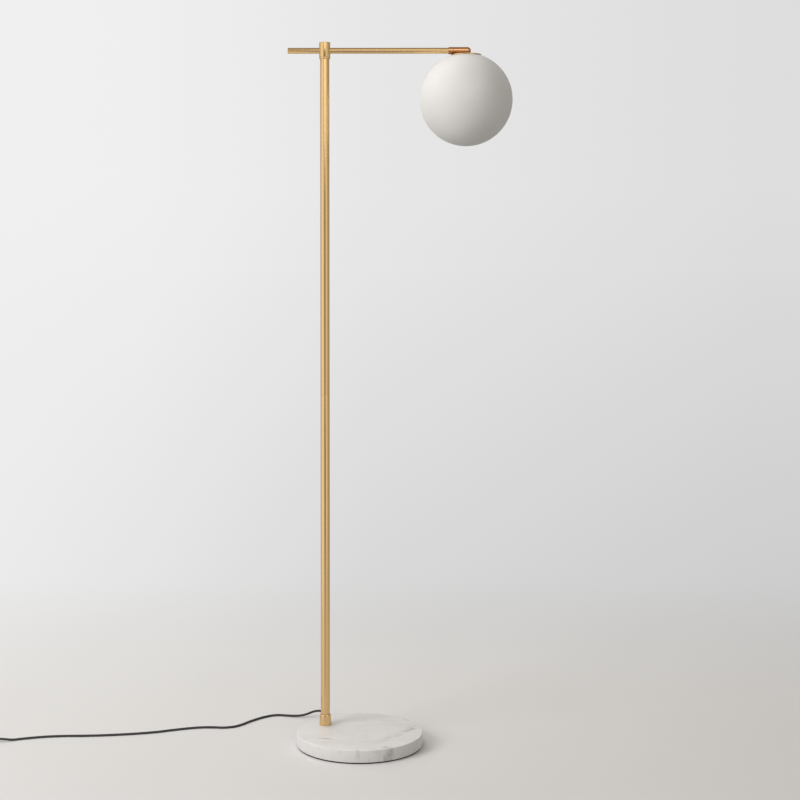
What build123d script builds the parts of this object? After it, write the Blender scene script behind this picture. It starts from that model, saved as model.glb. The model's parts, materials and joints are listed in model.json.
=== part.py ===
from build123d import *
import os
from math import acos, cos, degrees, pi, radians, sin, sqrt, tan

os.makedirs("parts", exist_ok=True)

# A floor lamp: a round marble foot, an off-centre pole in two screwed sections, a turning
# arm on top of it, and an opal glass globe that hangs from the arm's end.
# Millimetres. The origin is on the floor under the middle of the foot. +Z is up, and the
# arm points along +X.

# Marble foot
foot_diameter = 272.0
foot_thickness = 26.5
foot_bevel = 1.6
pad_diameter = 268.0
pad_thickness = 2.5
pole_x = -75.5
pole_y = 47.4
recess_diameter = 48.0
recess_depth = 17.0
cord_hole_diameter = 9.0
cord_hole_height = 14.0
foot_top = pad_thickness + foot_thickness

# Threaded tube that clamps the pole to the marble
rod_diameter = 10.0
rod_bore = 7.0
rod_bottom = 12.5
rod_top = 52.0
rod_chamfer = 0.5
clearance = 0.1
washer_diameter = 30.0
washer_thickness = 1.5
nut_flats = 17.0
nut_height = 5.0

# Pole
pole_diameter = 20.0
pole_bore = 17.6
section_length = 726.5
plug_diameter = 17.5
seam_height = foot_top + section_length
pole_top = seam_height + section_length
seam_chamfer = 0.35
collar_bottom_diameter = 26.2
collar_top_diameter = 24.3
collar_height = 24.5
collar_shoulder = 7.0
collar_band = 1.5
collar_lip = 0.5
insert_length = 28.0
insert_chamfer = 0.8
coupler_length = 26.0
coupler_gap = 0.2
stud_diameter = 12.0
stud_length = 18.0
stud_bore = 8.0

# Swivel on the pole's top
ring_height = 3.4
ring_chamfer = 0.9
bush_depth = 38.0
stem_diameter = 10.0
running_gap = 0.05
thrust_thickness = 0.5
body_gap = 0.05
thrust_inset = 1.0
stop_lug_half_angle = 7.5
stop_thickness = 1.9
lug_inside = 7.0
spring_thickness = 1.4
spring_crown = 0.5
spring_radius = 8.0
stem_overrun = 2.5
stem_nut_flats = 14.0
stem_nut_height = 5.0

# Hub and arm
hub_diameter = 24.0
hub_top = 1518.0
hub_edge = 0.7
arm_height = 1500.0
arm_diameter = 12.8
arm_bore = 10.8
arm_tail = 80.0
arm_reach = 277.5
arm_cap_thickness = 1.8
arm_cap_spigot = 9.0
arm_cap_chamfer = 0.7
fit_gap = 0.05
lead_hole_diameter = 7.8
screw_diameter = 4.0
screw_length = 5.4
screw_socket = 2.0

# End fitting, globe cap and globe
fitting_diameter = 15.8
end_ring_length = 10.0
ring_gap = 0.03
groove = 0.5
dome_offset = 2.0
spigot_length = 22.0
lead_bore = 8.0
bend_chamber_diameter = 10.4
bend_chamber_length = 18.0
nipple_depth = 5.5
nipple_bottom = 1479.0
globe_reach = 306.0
globe_drop = 105.5
globe_diameter = 200.0
glass_thickness = 3.0
globe_opening = 58.0
cap_diameter = 65.0
cap_thickness = 1.2
cap_edge = 0.8
seal_gap = 0.03
spring_sheet = 0.6
spring_width = 9.0
spring_plate_diameter = 28.0

# Lampholder and lamp bulb
holder_diameter = 34.0
holder_top = 1485.5
holder_bottom = 1439.0
shell_diameter = 28.2
bulb_cap_diameter = 26.2
bulb_diameter = 48.0
bulb_bottom = 1377.0

# Mains lead
cord_diameter = 5.0
cord_radius = cord_diameter / 2
inner_bend = 8.0
relief_length = 22.0
relief_root = 4.4
relief_tip = 3.2
relief_ribs = 5
relief_inside = 10.0
relief_collar = 2.0
sump_reach = 12.0
sump_clearance = 0.6
lead_gap = 0.3
lead_reach = 4.0
straight_lead = 14.0
drop_lead = 16.0
relief_groove = 0.6
relief_y = sqrt((foot_diameter / 2) ** 2 - pole_x ** 2)

# Foot switch on the lead
switch_x = -845.0
switch_y = 12.0
switch_length = 66.0
switch_width = 34.0
switch_split = 7.0
switch_top = 18.0
switch_axis = 7.0
button_diameter = 22.0
button_travel = 3.0
button_gap = 0.3

# Put-away coil: 7.5 turns in four layers
coil_radius = 33.6
coil_pitch = 5.6
coil_quarters = (8, 7, 7, 8)
coil_x = -949.0
coil_y = switch_y - coil_radius

# Mains plug
plug_length = 32.0
plug_width = 26.0
plug_height = 18.0
plug_corner = 5.0
plug_head = 8.0
plug_relief = 18.0
plug_neck_radius = 4.6
grip_width = 13.0
grip_height = 12.0
grip_corner = 3.5
grip_grooves = 5
grip_groove_width = 1.8
grip_groove_depth = 0.8
plug_axis = 9.0
plug_face_x = -838.0
blade_length = 17.5
blade_thickness = 1.5
blade_spacing = 12.7
narrow_blade = 6.35
wide_blade = 7.9
blade_chamfer = 0.4
blade_hole_distance = 11.8
blade_hole_radius = 1.6

globe_x = pole_x + globe_reach
globe_z = arm_height - globe_drop
globe_radius = globe_diameter / 2
inner_radius = globe_radius - glass_thickness
opening_radius = globe_opening / 2
pole_axis = Axis((pole_x, pole_y, 0), (0, 0, 1))
globe_axis = Axis((globe_x, pole_y, 0), (0, 0, 1))
arm_axis = Axis((pole_x, pole_y, arm_height), (1, 0, 0))


def upright(x, y, turn=0.0):
    """A section plane through a vertical axis: local x runs outwards, local y runs up."""
    out = (cos(radians(turn)), sin(radians(turn)), 0)
    return Plane(origin=(x, y, 0), x_dir=out, z_dir=(out[1], -out[0], 0))


pole_section = upright(pole_x, pole_y)
globe_section = upright(globe_x, pole_y)
arm_section = Plane(origin=(pole_x, pole_y, arm_height), x_dir=(1, 0, 0), z_dir=(0, -1, 0))


def at_pole(height):
    """The level plane at a height, centred on the pole."""
    return Plane((pole_x, pole_y, height))


def at_globe(height):
    """The level plane at a height, centred on the globe's axis."""
    return Plane((globe_x, pole_y, height))


def sphere_height(radius, distance):
    """How high a sphere round the globe's centre is, at a distance from its axis."""
    return globe_z + sqrt(radius ** 2 - distance ** 2)


def hexagon_radius(flats):
    """The corner radius of a hexagon, from its width across flats."""
    return flats / 2 / cos(radians(30))


def save(sub_part, name):
    """Names a finished piece and writes its file."""
    sub_part.part.label = name
    export_step(sub_part.part, f"parts/{name}.step")


# Foot

with BuildPart() as base_pad:
    with BuildSketch():
        Circle(pad_diameter / 2)
    extrude(amount=pad_thickness)
save(base_pad, "base_pad")

with BuildPart() as marble_base:
    with BuildSketch(Plane.XY.offset(pad_thickness)):
        Circle(foot_diameter / 2)
    extrude(amount=foot_thickness)
    chamfer(marble_base.edges().filter_by(GeomType.CIRCLE), foot_bevel)
    with BuildSketch(at_pole(pad_thickness)):
        Circle(recess_diameter / 2)
    extrude(amount=recess_depth, mode=Mode.SUBTRACT)
    with BuildSketch(at_pole(pad_thickness)):
        Circle(rod_diameter / 2 + clearance)
    extrude(amount=foot_thickness, mode=Mode.SUBTRACT)
    with BuildSketch(Plane(origin=(pole_x, pole_y, cord_hole_height), z_dir=(0, 1, 0))):
        Circle(cord_hole_diameter / 2)
    extrude(amount=foot_diameter / 2, mode=Mode.SUBTRACT)
save(marble_base, "marble_base")

recess_top = pad_thickness + recess_depth

with BuildPart() as base_washer:
    with BuildSketch(at_pole(recess_top - washer_thickness)):
        Circle(washer_diameter / 2)
        Circle(rod_diameter / 2 + clearance, mode=Mode.SUBTRACT)
    extrude(amount=washer_thickness)
save(base_washer, "base_washer")

with BuildPart() as base_nut:
    with BuildSketch(at_pole(recess_top - washer_thickness - nut_height)):
        RegularPolygon(hexagon_radius(nut_flats), 6)
        Circle(rod_diameter / 2, mode=Mode.SUBTRACT)
    extrude(amount=nut_height)
save(base_nut, "base_nut")

with BuildPart() as base_rod:
    with BuildSketch(at_pole(rod_bottom)):
        Circle(rod_diameter / 2)
        Circle(rod_bore / 2, mode=Mode.SUBTRACT)
    extrude(amount=rod_top - rod_bottom)
    chamfer(base_rod.edges().filter_by(GeomType.CIRCLE).sort_by(SortBy.RADIUS)[-2:], rod_chamfer)
save(base_rod, "base_rod")

with BuildPart() as foot_collar:
    with BuildSketch(pole_section):
        with BuildLine():
            inside = pole_diameter / 2 + running_gap
            shoulder = foot_top + collar_height - collar_shoulder
            Polyline(
                (inside, foot_top + collar_height),
                (inside, foot_top),
                (collar_bottom_diameter / 2, foot_top),
                (collar_bottom_diameter / 2, foot_top + collar_band),
                (collar_top_diameter / 2, shoulder),
            )
            rim = (inside + collar_lip, foot_top + collar_height)
            TangentArc((collar_top_diameter / 2, shoulder), rim, tangent=(0, 1))
            Line(rim, (inside, foot_top + collar_height))
        make_face()
    revolve(axis=pole_axis)
save(foot_collar, "foot_collar")

# Pole

with BuildPart() as foot_insert:
    with BuildSketch(at_pole(foot_top)):
        Circle(plug_diameter / 2)
        Circle(rod_diameter / 2, mode=Mode.SUBTRACT)
    extrude(amount=insert_length)
    chamfer(foot_insert.edges().filter_by(GeomType.CIRCLE).sort_by(SortBy.RADIUS)[-2:], insert_chamfer)
save(foot_insert, "foot_insert")

for name, bottom in (("lower_pole", foot_top), ("upper_pole", seam_height)):
    with BuildPart() as pole_tube:
        with BuildSketch(at_pole(bottom)):
            Circle(pole_diameter / 2)
            Circle(pole_bore / 2, mode=Mode.SUBTRACT)
        extrude(amount=section_length)
        chamfer(
            pole_tube.edges().filter_by(GeomType.CIRCLE).sort_by(SortBy.RADIUS)[-2:],
            seam_chamfer,
        )
    save(pole_tube, name)

with BuildPart() as coupler_socket:
    with BuildSketch(at_pole(seam_height - coupler_length)):
        Circle(plug_diameter / 2)
        Circle(stud_diameter / 2 + clearance, mode=Mode.SUBTRACT)
    extrude(amount=coupler_length - coupler_gap)
save(coupler_socket, "coupler_socket")

with BuildPart() as coupler_stud:
    with BuildSketch(at_pole(seam_height + coupler_gap)):
        Circle(plug_diameter / 2)
    extrude(amount=coupler_length)
    with BuildSketch(at_pole(seam_height - stud_length)):
        Circle(stud_diameter / 2)
    extrude(amount=stud_length + coupler_gap)
    chamfer(coupler_stud.faces().sort_by(Axis.Z)[0].edges(), insert_chamfer)
    with BuildSketch(at_pole(seam_height - stud_length)):
        Circle(stud_bore / 2)
    extrude(amount=stud_length + coupler_length + coupler_gap, mode=Mode.SUBTRACT)
save(coupler_stud, "coupler_stud")

# Swivel: a flanged bush in the pole, and a hollow stem that turns in it

ring_top = pole_top + ring_height
bush_bottom = pole_top - bush_depth
lug_outside = plug_diameter / 2

with BuildPart() as swivel_bush:
    with BuildSketch(pole_section):
        with BuildLine():
            bush_bore = stem_diameter / 2 + running_gap
            Polyline(
                (bush_bore, bush_bottom),
                (plug_diameter / 2, bush_bottom),
                (plug_diameter / 2, pole_top),
                (hub_diameter / 2 - ring_chamfer, pole_top),
                (hub_diameter / 2, pole_top + ring_chamfer),
                (hub_diameter / 2, ring_top),
                (bush_bore, ring_top),
                close=True,
            )
        make_face()
    revolve(axis=pole_axis)
    with BuildSketch(Plane(origin=(pole_x, pole_y, bush_bottom), x_dir=(-1, 0, 0), z_dir=(0, 0, -1))):
        with BuildLine():
            lug_start = CenterArc((0, 0), lug_outside, -stop_lug_half_angle, 2 * stop_lug_half_angle)
            lug_back = CenterArc((0, 0), lug_inside, -stop_lug_half_angle, 2 * stop_lug_half_angle)
            Line(lug_start @ 0, lug_back @ 0)
            Line(lug_start @ 1, lug_back @ 1)
        make_face()
    extrude(amount=stop_thickness)
save(swivel_bush, "swivel_bush")

with BuildPart() as thrust_washer:
    with BuildSketch(at_pole(ring_top + body_gap)):
        Circle(hub_diameter / 2 - thrust_inset)
        Circle(stem_diameter / 2 + clearance, mode=Mode.SUBTRACT)
    extrude(amount=thrust_thickness)
save(thrust_washer, "thrust_washer")

hub_bottom = ring_top + body_gap + thrust_thickness
stop_top = bush_bottom - body_gap
stop_bottom = stop_top - stop_thickness
spring_bottom = stop_bottom - spring_thickness
stem_bottom = spring_bottom - stem_nut_height - stem_overrun
stem_top = arm_height - arm_diameter / 2 - rod_chamfer
tab_inside = stem_diameter / 2 + thrust_inset

with BuildPart() as stop_washer:
    with BuildSketch(at_pole(stop_bottom)):
        Circle(lug_inside - 2 * clearance)
        with BuildLine():
            tab_rim = CenterArc((0, 0), lug_outside - 2 * clearance, -stop_lug_half_angle,
                                2 * stop_lug_half_angle)
            tab_root = CenterArc((0, 0), tab_inside, -stop_lug_half_angle, 2 * stop_lug_half_angle)
            Line(tab_rim @ 0, tab_root @ 0)
            Line(tab_rim @ 1, tab_root @ 1)
        make_face()
        Circle(stem_diameter / 2 + ring_gap, mode=Mode.SUBTRACT)
    extrude(amount=stop_thickness)
save(stop_washer, "stop_washer")

with BuildPart() as spring_washer:
    with BuildSketch(pole_section):
        with BuildLine():
            Polyline(
                (stem_diameter / 2 + clearance, stop_bottom - spring_crown),
                (spring_radius, spring_bottom),
                (spring_radius, spring_bottom + spring_crown),
                (stem_diameter / 2 + clearance, stop_bottom),
                close=True,
            )
        make_face()
    revolve(axis=pole_axis)
save(spring_washer, "spring_washer")

with BuildPart() as stem_nut:
    with BuildSketch(at_pole(spring_bottom - stem_nut_height)):
        RegularPolygon(hexagon_radius(stem_nut_flats), 6)
        Circle(stem_diameter / 2, mode=Mode.SUBTRACT)
    extrude(amount=stem_nut_height)
save(stem_nut, "stem_nut")

with BuildPart() as swivel_stem:
    with BuildSketch(at_pole(stem_bottom)):
        Circle(stem_diameter / 2)
        Circle(rod_bore / 2, mode=Mode.SUBTRACT)
    extrude(amount=stem_top - stem_bottom)
    chamfer(swivel_stem.edges().filter_by(GeomType.CIRCLE).sort_by(SortBy.RADIUS)[-2:], rod_chamfer)
save(swivel_stem, "swivel_stem")

# Hub and arm

with BuildPart() as hub:
    with BuildSketch(at_pole(hub_bottom)):
        Circle(hub_diameter / 2)
    extrude(amount=hub_top - hub_bottom)
    chamfer(hub.edges().filter_by(GeomType.CIRCLE).sort_by(Axis.Z)[-1], hub_edge)
    chamfer(hub.edges().filter_by(GeomType.CIRCLE).sort_by(Axis.Z)[0], hub_edge / 2)
    with BuildSketch(Plane(origin=(pole_x, pole_y, arm_height), x_dir=(0, 1, 0), z_dir=(1, 0, 0))):
        Circle(arm_diameter / 2 + running_gap / 2)
    extrude(amount=hub_diameter, both=True, mode=Mode.SUBTRACT)
    with BuildSketch(at_pole(hub_bottom)):
        Circle(stem_diameter / 2)
    extrude(amount=arm_height - hub_bottom, mode=Mode.SUBTRACT)
    with BuildSketch(Plane(origin=(pole_x, pole_y, arm_height), z_dir=(0, 1, 0))):
        Circle(screw_diameter / 2)
    extrude(amount=hub_diameter, mode=Mode.SUBTRACT)
save(hub, "hub")

with BuildPart() as hub_screw:
    screw_start = arm_diameter / 2 + fit_gap
    with BuildSketch(Plane(origin=(pole_x, pole_y + screw_start, arm_height), z_dir=(0, 1, 0))):
        Circle(screw_diameter / 2 - ring_gap)
    extrude(amount=screw_length)
    screw_head = (pole_x, pole_y + screw_start + screw_length, arm_height)
    with BuildSketch(Plane(origin=screw_head, z_dir=(0, 1, 0))):
        RegularPolygon(hexagon_radius(screw_socket), 6)
    extrude(amount=-screw_length / 2, mode=Mode.SUBTRACT)
save(hub_screw, "hub_screw")

with BuildPart() as arm_tube:
    with BuildSketch(arm_section):
        with BuildLine():
            Polyline(
                (arm_cap_thickness - arm_tail, arm_bore / 2),
                (arm_reach, arm_bore / 2),
                (arm_reach, arm_diameter / 2),
                (arm_cap_thickness - arm_tail, arm_diameter / 2),
                close=True,
            )
        make_face()
    revolve(axis=arm_axis)
    with BuildSketch(at_pole(arm_height - arm_diameter)):
        Circle(lead_hole_diameter / 2)
    extrude(amount=arm_diameter, mode=Mode.SUBTRACT)
save(arm_tube, "arm_tube")

with BuildPart() as arm_cap:
    with BuildSketch(arm_section):
        with BuildLine():
            Polyline(
                (-arm_tail, 0),
                (-arm_tail, arm_diameter / 2 - arm_cap_chamfer),
                (arm_cap_chamfer - arm_tail, arm_diameter / 2),
                (arm_cap_thickness - arm_tail, arm_diameter / 2),
                (arm_cap_thickness - arm_tail, arm_bore / 2 - fit_gap),
                (arm_cap_thickness + arm_cap_spigot - arm_tail, arm_bore / 2 - fit_gap),
                (arm_cap_thickness + arm_cap_spigot - arm_tail, 0),
                close=True,
            )
        make_face()
    revolve(axis=arm_axis)
save(arm_cap, "arm_cap")

# End ring and fitting: the fitting ends in half a ball over the globe's axis

with BuildPart() as end_ring:
    with BuildSketch(arm_section):
        with BuildLine():
            ring_in = arm_diameter / 2 + ring_gap
            Polyline(
                (arm_reach - end_ring_length, ring_in),
                (arm_reach - end_ring_length, fitting_diameter / 2 - groove),
                (arm_reach - end_ring_length + groove, fitting_diameter / 2),
                (arm_reach - groove, fitting_diameter / 2),
                (arm_reach, fitting_diameter / 2 - groove),
                (arm_reach, ring_in),
                close=True,
            )
        make_face()
    revolve(axis=arm_axis)
save(end_ring, "end_ring")

nipple_top = arm_height - nipple_depth
chamber_start = globe_reach + lead_bore / 2 - bend_chamber_length
dome_start = globe_reach + dome_offset

with BuildPart() as end_fitting:
    with BuildSketch(arm_section):
        with BuildLine():
            Polyline(
                (dome_start, 0),
                (arm_reach - spigot_length, 0),
                (arm_reach - spigot_length, arm_bore / 2 - fit_gap),
                (arm_reach, arm_bore / 2 - fit_gap),
                (arm_reach, fitting_diameter / 2 - groove),
                (arm_reach + groove, fitting_diameter / 2),
                (dome_start, fitting_diameter / 2),
            )
            RadiusArc(
                (dome_start, fitting_diameter / 2),
                (dome_start + fitting_diameter / 2, 0),
                fitting_diameter / 2,
            )
            Line((dome_start + fitting_diameter / 2, 0), (dome_start, 0))
        make_face()
    revolve(axis=arm_axis)
    with BuildSketch(Plane(origin=(pole_x + arm_reach - spigot_length, pole_y, arm_height), z_dir=(1, 0, 0))):
        Circle(lead_bore / 2)
    extrude(amount=globe_reach - arm_reach + spigot_length, mode=Mode.SUBTRACT)
    with BuildSketch(Plane(origin=(pole_x + chamber_start, pole_y, arm_height), z_dir=(1, 0, 0))):
        Circle(bend_chamber_diameter / 2)
    extrude(amount=bend_chamber_length, mode=Mode.SUBTRACT)
    with BuildSketch(at_globe(arm_height - fitting_diameter)):
        Circle(rod_diameter / 2)
    extrude(amount=nipple_top - arm_height + fitting_diameter, mode=Mode.SUBTRACT)
    with BuildSketch(at_globe(nipple_top)):
        Circle(rod_bore / 2)
    extrude(amount=arm_height - nipple_top, mode=Mode.SUBTRACT)
save(end_fitting, "end_fitting")

with BuildPart() as fitter_nipple:
    with BuildSketch(at_globe(nipple_bottom)):
        Circle(rod_diameter / 2)
        Circle(rod_bore / 2, mode=Mode.SUBTRACT)
    extrude(amount=nipple_top - nipple_bottom)
save(fitter_nipple, "fitter_nipple")

# Globe cap, its seal, the three sprung legs that hold the glass, and the nut above the holder

cap_top = arm_height - fitting_diameter / 2 - body_gap
cap_under = cap_top - cap_thickness
cap_radius = cap_diameter / 2

with BuildPart() as globe_cap:
    with BuildSketch(globe_section):
        with BuildLine():
            rim_foot = sphere_height(globe_radius, cap_radius - cap_thickness) + clearance
            Polyline(
                (rod_diameter / 2 + clearance, cap_top),
                (rod_diameter / 2 + clearance, cap_under),
                (cap_radius - cap_thickness, cap_under),
                (cap_radius - cap_thickness, rim_foot),
                (cap_radius, rim_foot),
                (cap_radius, cap_top - cap_edge),
            )
            TangentArc((cap_radius, cap_top - cap_edge), (cap_radius - cap_edge, cap_top), tangent=(0, 1))
            Line((cap_radius - cap_edge, cap_top), (rod_diameter / 2 + clearance, cap_top))
        make_face()
    revolve(axis=globe_axis)
save(globe_cap, "globe_cap")

with BuildPart() as cap_seal:
    with BuildSketch(globe_section):
        with BuildLine():
            seal_in = opening_radius + 2 * clearance
            seal_out = cap_radius - cap_thickness - clearance
            seal_mid = (seal_in + seal_out) / 2
            Polyline(
                (seal_in, sphere_height(globe_radius, seal_in) + seal_gap),
                (seal_in, cap_under),
                (seal_out, cap_under),
                (seal_out, sphere_height(globe_radius, seal_out) + seal_gap),
            )
            ThreePointArc(
                (seal_out, sphere_height(globe_radius, seal_out) + seal_gap),
                (seal_mid, sphere_height(globe_radius, seal_mid) + seal_gap),
                (seal_in, sphere_height(globe_radius, seal_in) + seal_gap),
            )
        make_face()
    revolve(axis=globe_axis)
save(cap_seal, "cap_seal")

with BuildPart() as glass_globe:
    with BuildSketch(globe_section):
        with BuildLine():
            lip_out = (opening_radius, sphere_height(globe_radius, opening_radius))
            lip_in = (opening_radius, sphere_height(inner_radius, opening_radius))
            ThreePointArc(lip_out, (globe_radius, globe_z), (0, globe_z - globe_radius))
            Line((0, globe_z - globe_radius), (0, globe_z - inner_radius))
            ThreePointArc((0, globe_z - inner_radius), (inner_radius, globe_z), lip_in)
            Line(lip_in, lip_out)
        make_face()
    revolve(axis=globe_axis)
save(glass_globe, "glass_globe")

spring_plate_top = cap_under - body_gap
plate_middle = spring_plate_top - spring_sheet / 2
lip_height = sphere_height(inner_radius, opening_radius)

with BuildPart() as globe_springs:
    with BuildSketch(at_globe(spring_plate_top - spring_sheet)):
        Circle(spring_plate_diameter / 2)
        Circle(rod_diameter / 2 + clearance, mode=Mode.SUBTRACT)
    extrude(amount=spring_sheet)
    for turn in (90, 210, 330):
        with BuildSketch(upright(globe_x, pole_y, turn)):
            with BuildLine():
                FilletPolyline(
                    (12.0, plate_middle),
                    (opening_radius - 3.2, plate_middle),
                    (opening_radius - 1.25, lip_height + 0.2),
                    (opening_radius + 0.95, lip_height - 2.4),
                    (opening_radius - 4.0, lip_height - 12.0),
                    radius=0.6,
                )
            trace(line_width=spring_sheet)
        extrude(amount=spring_width / 2, both=True)
save(globe_springs, "globe_springs")

with BuildPart() as fitter_nut:
    with BuildSketch(at_globe(holder_top + body_gap)):
        RegularPolygon(hexagon_radius(stem_nut_flats), 6)
        Circle(rod_diameter / 2, mode=Mode.SUBTRACT)
    extrude(amount=spring_plate_top - spring_sheet - holder_top - 2 * body_gap)
save(fitter_nut, "fitter_nut")

# Lampholder with its threaded shell and contact

holder_radius = holder_diameter / 2
shell_radius = shell_diameter / 2
shell_top = 1467.5
wire_room = 9.0

with BuildPart() as lamp_holder:
    with BuildSketch(globe_section):
        with BuildLine():
            Polyline(
                (rod_diameter / 2 + 0.05, holder_top),
                (11.0, holder_top),
                (holder_radius, holder_top - 8.0),
                (holder_radius, 1471.0),
                (holder_radius - 0.8, 1470.4),
                (holder_radius - 0.8, 1469.6),
                (holder_radius, 1469.0),
                (holder_radius, holder_bottom + 1.0),
                (holder_radius - 1.0, holder_bottom),
                (shell_radius + 0.1, holder_bottom),
                (shell_radius + 0.1, shell_top + 0.5),
                (1.5, shell_top + 0.5),
                (1.5, 1471.0),
                (wire_room, 1471.0),
                (wire_room, nipple_bottom - 0.5),
                (rod_diameter / 2 + 0.05, nipple_bottom - 0.5),
                close=True,
            )
        make_face()
    revolve(axis=globe_axis)
save(lamp_holder, "lamp_holder")

shell_wall = 0.5
thread_pitch = 3.6
thread_depth = 0.4

with BuildPart() as holder_shell:
    with BuildSketch(globe_section):
        with BuildLine():
            thread_steps = 6
            beads = [(shell_radius - thread_depth * (k % 2), shell_top - k * thread_pitch / 2 - 1.0)
                     for k in range(2 * thread_steps)]
            outer_wall = [(shell_radius, shell_top)] + beads
            inner_wall = [(r - shell_wall, z) for r, z in reversed(outer_wall)]
            inner_wall[-1] = (shell_radius - shell_wall, shell_top - shell_wall)
            lip = [(shell_radius - 4.0, shell_top - shell_wall), (shell_radius - 4.0, shell_top)]
            Polyline(*outer_wall, *inner_wall, *lip, close=True)
        make_face()
    revolve(axis=globe_axis)
save(holder_shell, "holder_shell")

with BuildPart() as holder_contact:
    with BuildSketch(globe_section):
        with BuildLine():
            FilletPolyline(
                (8.0, shell_top + 0.2),
                (5.0, shell_top + 0.2),
                (1.0, 1465.8),
                (-2.5, 1465.8),
                radius=1.0,
            )
        trace(line_width=0.5)
    extrude(amount=3.0, both=True)
save(holder_contact, "holder_contact")

# Lamp bulb: screw cap, white collar and opal dome

bulb_cap_top = 1463.0
bulb_collar_top = 1441.5
bulb_dome_top = 1423.0
bulb_cap_radius = bulb_cap_diameter / 2
collar_radius = 20.5

with BuildPart() as bulb_cap:
    with BuildSketch(globe_section):
        with BuildLine():
            steps = range(9)
            screw = [(bulb_cap_radius - thread_depth * (1 - k % 2), bulb_collar_top + 2.0 + k * thread_pitch / 2)
                     for k in steps]
            Polyline(
                (0, bulb_collar_top),
                (bulb_cap_radius, bulb_collar_top),
                *screw,
                (bulb_cap_radius - 1.0, bulb_cap_top - 1.5),
                (4.5, bulb_cap_top + 1.0),
                (4.5, bulb_cap_top + 1.6),
                (2.0, bulb_cap_top + 2.4),
                (0, bulb_cap_top + 2.4),
                close=True,
            )
        make_face()
    revolve(axis=globe_axis)
save(bulb_cap, "bulb_cap")

with BuildPart() as bulb_collar:
    with BuildSketch(globe_section):
        with BuildLine():
            Line((0, bulb_dome_top), (collar_radius, bulb_dome_top))
            ThreePointArc(
                (collar_radius, bulb_dome_top),
                (16.2, bulb_dome_top + 8.0),
                (bulb_cap_radius + 0.6, bulb_collar_top),
            )
            Line((bulb_cap_radius + 0.6, bulb_collar_top), (0, bulb_collar_top))
            Line((0, bulb_collar_top), (0, bulb_dome_top))
        make_face()
    revolve(axis=globe_axis)
save(bulb_collar, "bulb_collar")

with BuildPart() as bulb_dome:
    with BuildSketch(globe_section):
        with BuildLine():
            bulb_radius = bulb_diameter / 2
            bulb_middle = bulb_bottom + bulb_radius
            Line((0, bulb_dome_top), (collar_radius - 0.6, bulb_dome_top))
            ThreePointArc(
                (collar_radius - 0.6, bulb_dome_top),
                (bulb_radius - 0.9, (bulb_dome_top + bulb_middle) / 2 + 1.0),
                (bulb_radius, bulb_middle),
            )
            RadiusArc((bulb_radius, bulb_middle), (0, bulb_bottom), bulb_radius)
            Line((0, bulb_bottom), (0, bulb_dome_top))
        make_face()
    revolve(axis=globe_axis)
save(bulb_dome, "bulb_dome")


# Mains lead held inside the lamp

def corner_radii(points):
    """The largest arc for each corner: it takes 0.45 of the shorter run beside it."""
    radii = []
    for before, corner, after in zip(points, points[1:], points[2:]):
        arriving = Vector(*corner) - Vector(*before)
        leaving = Vector(*after) - Vector(*corner)
        turn = radians(arriving.get_angle(leaving))
        radii.append(0.45 * min(arriving.length, leaving.length) / tan(turn / 2))
    return radii


def tube(name, points, radii):
    """A length of lead along runs joined by arcs, written under its name."""
    with BuildPart() as lead:
        with BuildLine() as route:
            FilletPolyline(*points, radius=radii)
        line = route.wire()
        with BuildSketch(Plane(origin=line @ 0, z_dir=line % 0)):
            Circle(cord_radius)
        sweep(path=line)
    save(lead, name)
    share = lead.part.volume / (pi * cord_radius ** 2 * line.length)
    print(name, "length", round(line.length, 1), "volume share", round(share, 4),
          "least radius", round(min(radii), 1))


relief_inner = relief_y - relief_inside
sump_y = pole_y + sump_reach
sump_z = pad_thickness + cord_radius + sump_clearance
inner_lead = [
    (pole_x, relief_inner, cord_hole_height),
    (pole_x, pole_y + recess_diameter / 2, cord_hole_height),
    (pole_x, sump_y, sump_z),
    (pole_x, pole_y, sump_z),
    (pole_x, pole_y, stem_bottom - lead_gap),
]
tube("pole_lead", inner_lead, [inner_bend, inner_bend, inner_bend])

head_lead = [
    (pole_x, pole_y, stem_bottom),
    (pole_x, pole_y, arm_height),
    (globe_x, pole_y, arm_height),
    (globe_x, pole_y, nipple_bottom - lead_reach),
]
tube("arm_lead", head_lead, [inner_bend, inner_bend])

# Mains lead on the floor, and the ribbed reliefs at its ends

def ribbed_sleeve(name, foot, direction, plain, length):
    """A strain relief: a plain root, then ribs that get smaller towards the tip.

    It starts at foot and points in a direction; plain and length are measured from there.
    """
    pitch = (length - plain) / relief_ribs
    narrowing = (relief_root - relief_tip) / relief_ribs
    outline = [(0, 0), (0, relief_root), (plain, relief_root)]
    for rib in range(relief_ribs):
        start = plain + rib * pitch
        radius = relief_root - rib * narrowing
        outline += [
            (start, radius - relief_groove),
            (start + pitch / 3, radius - relief_groove),
            (start + pitch / 3, radius),
            (start + pitch, radius - narrowing),
        ]
    outline.append((length, 0))
    upright = Plane(origin=foot, x_dir=direction, z_dir=Vector(*direction).cross(Vector(0, 0, 1)))
    with BuildPart() as sleeve:
        with BuildSketch(upright):
            with BuildLine():
                Polyline(*outline, close=True)
            make_face()
        revolve(axis=Axis(foot, direction))
    save(sleeve, name)


relief_plain = relief_y - relief_inner + relief_collar
relief_foot = (pole_x, relief_inner, cord_hole_height)
ribbed_sleeve("cord_relief", relief_foot, (0, 1, 0), relief_plain, relief_y - relief_inner + relief_length)

floor = cord_radius
relief_end = relief_y + relief_length
switch_in = switch_x + switch_length / 2 + relief_length
switch_out = switch_x - switch_length / 2 - relief_length

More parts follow.
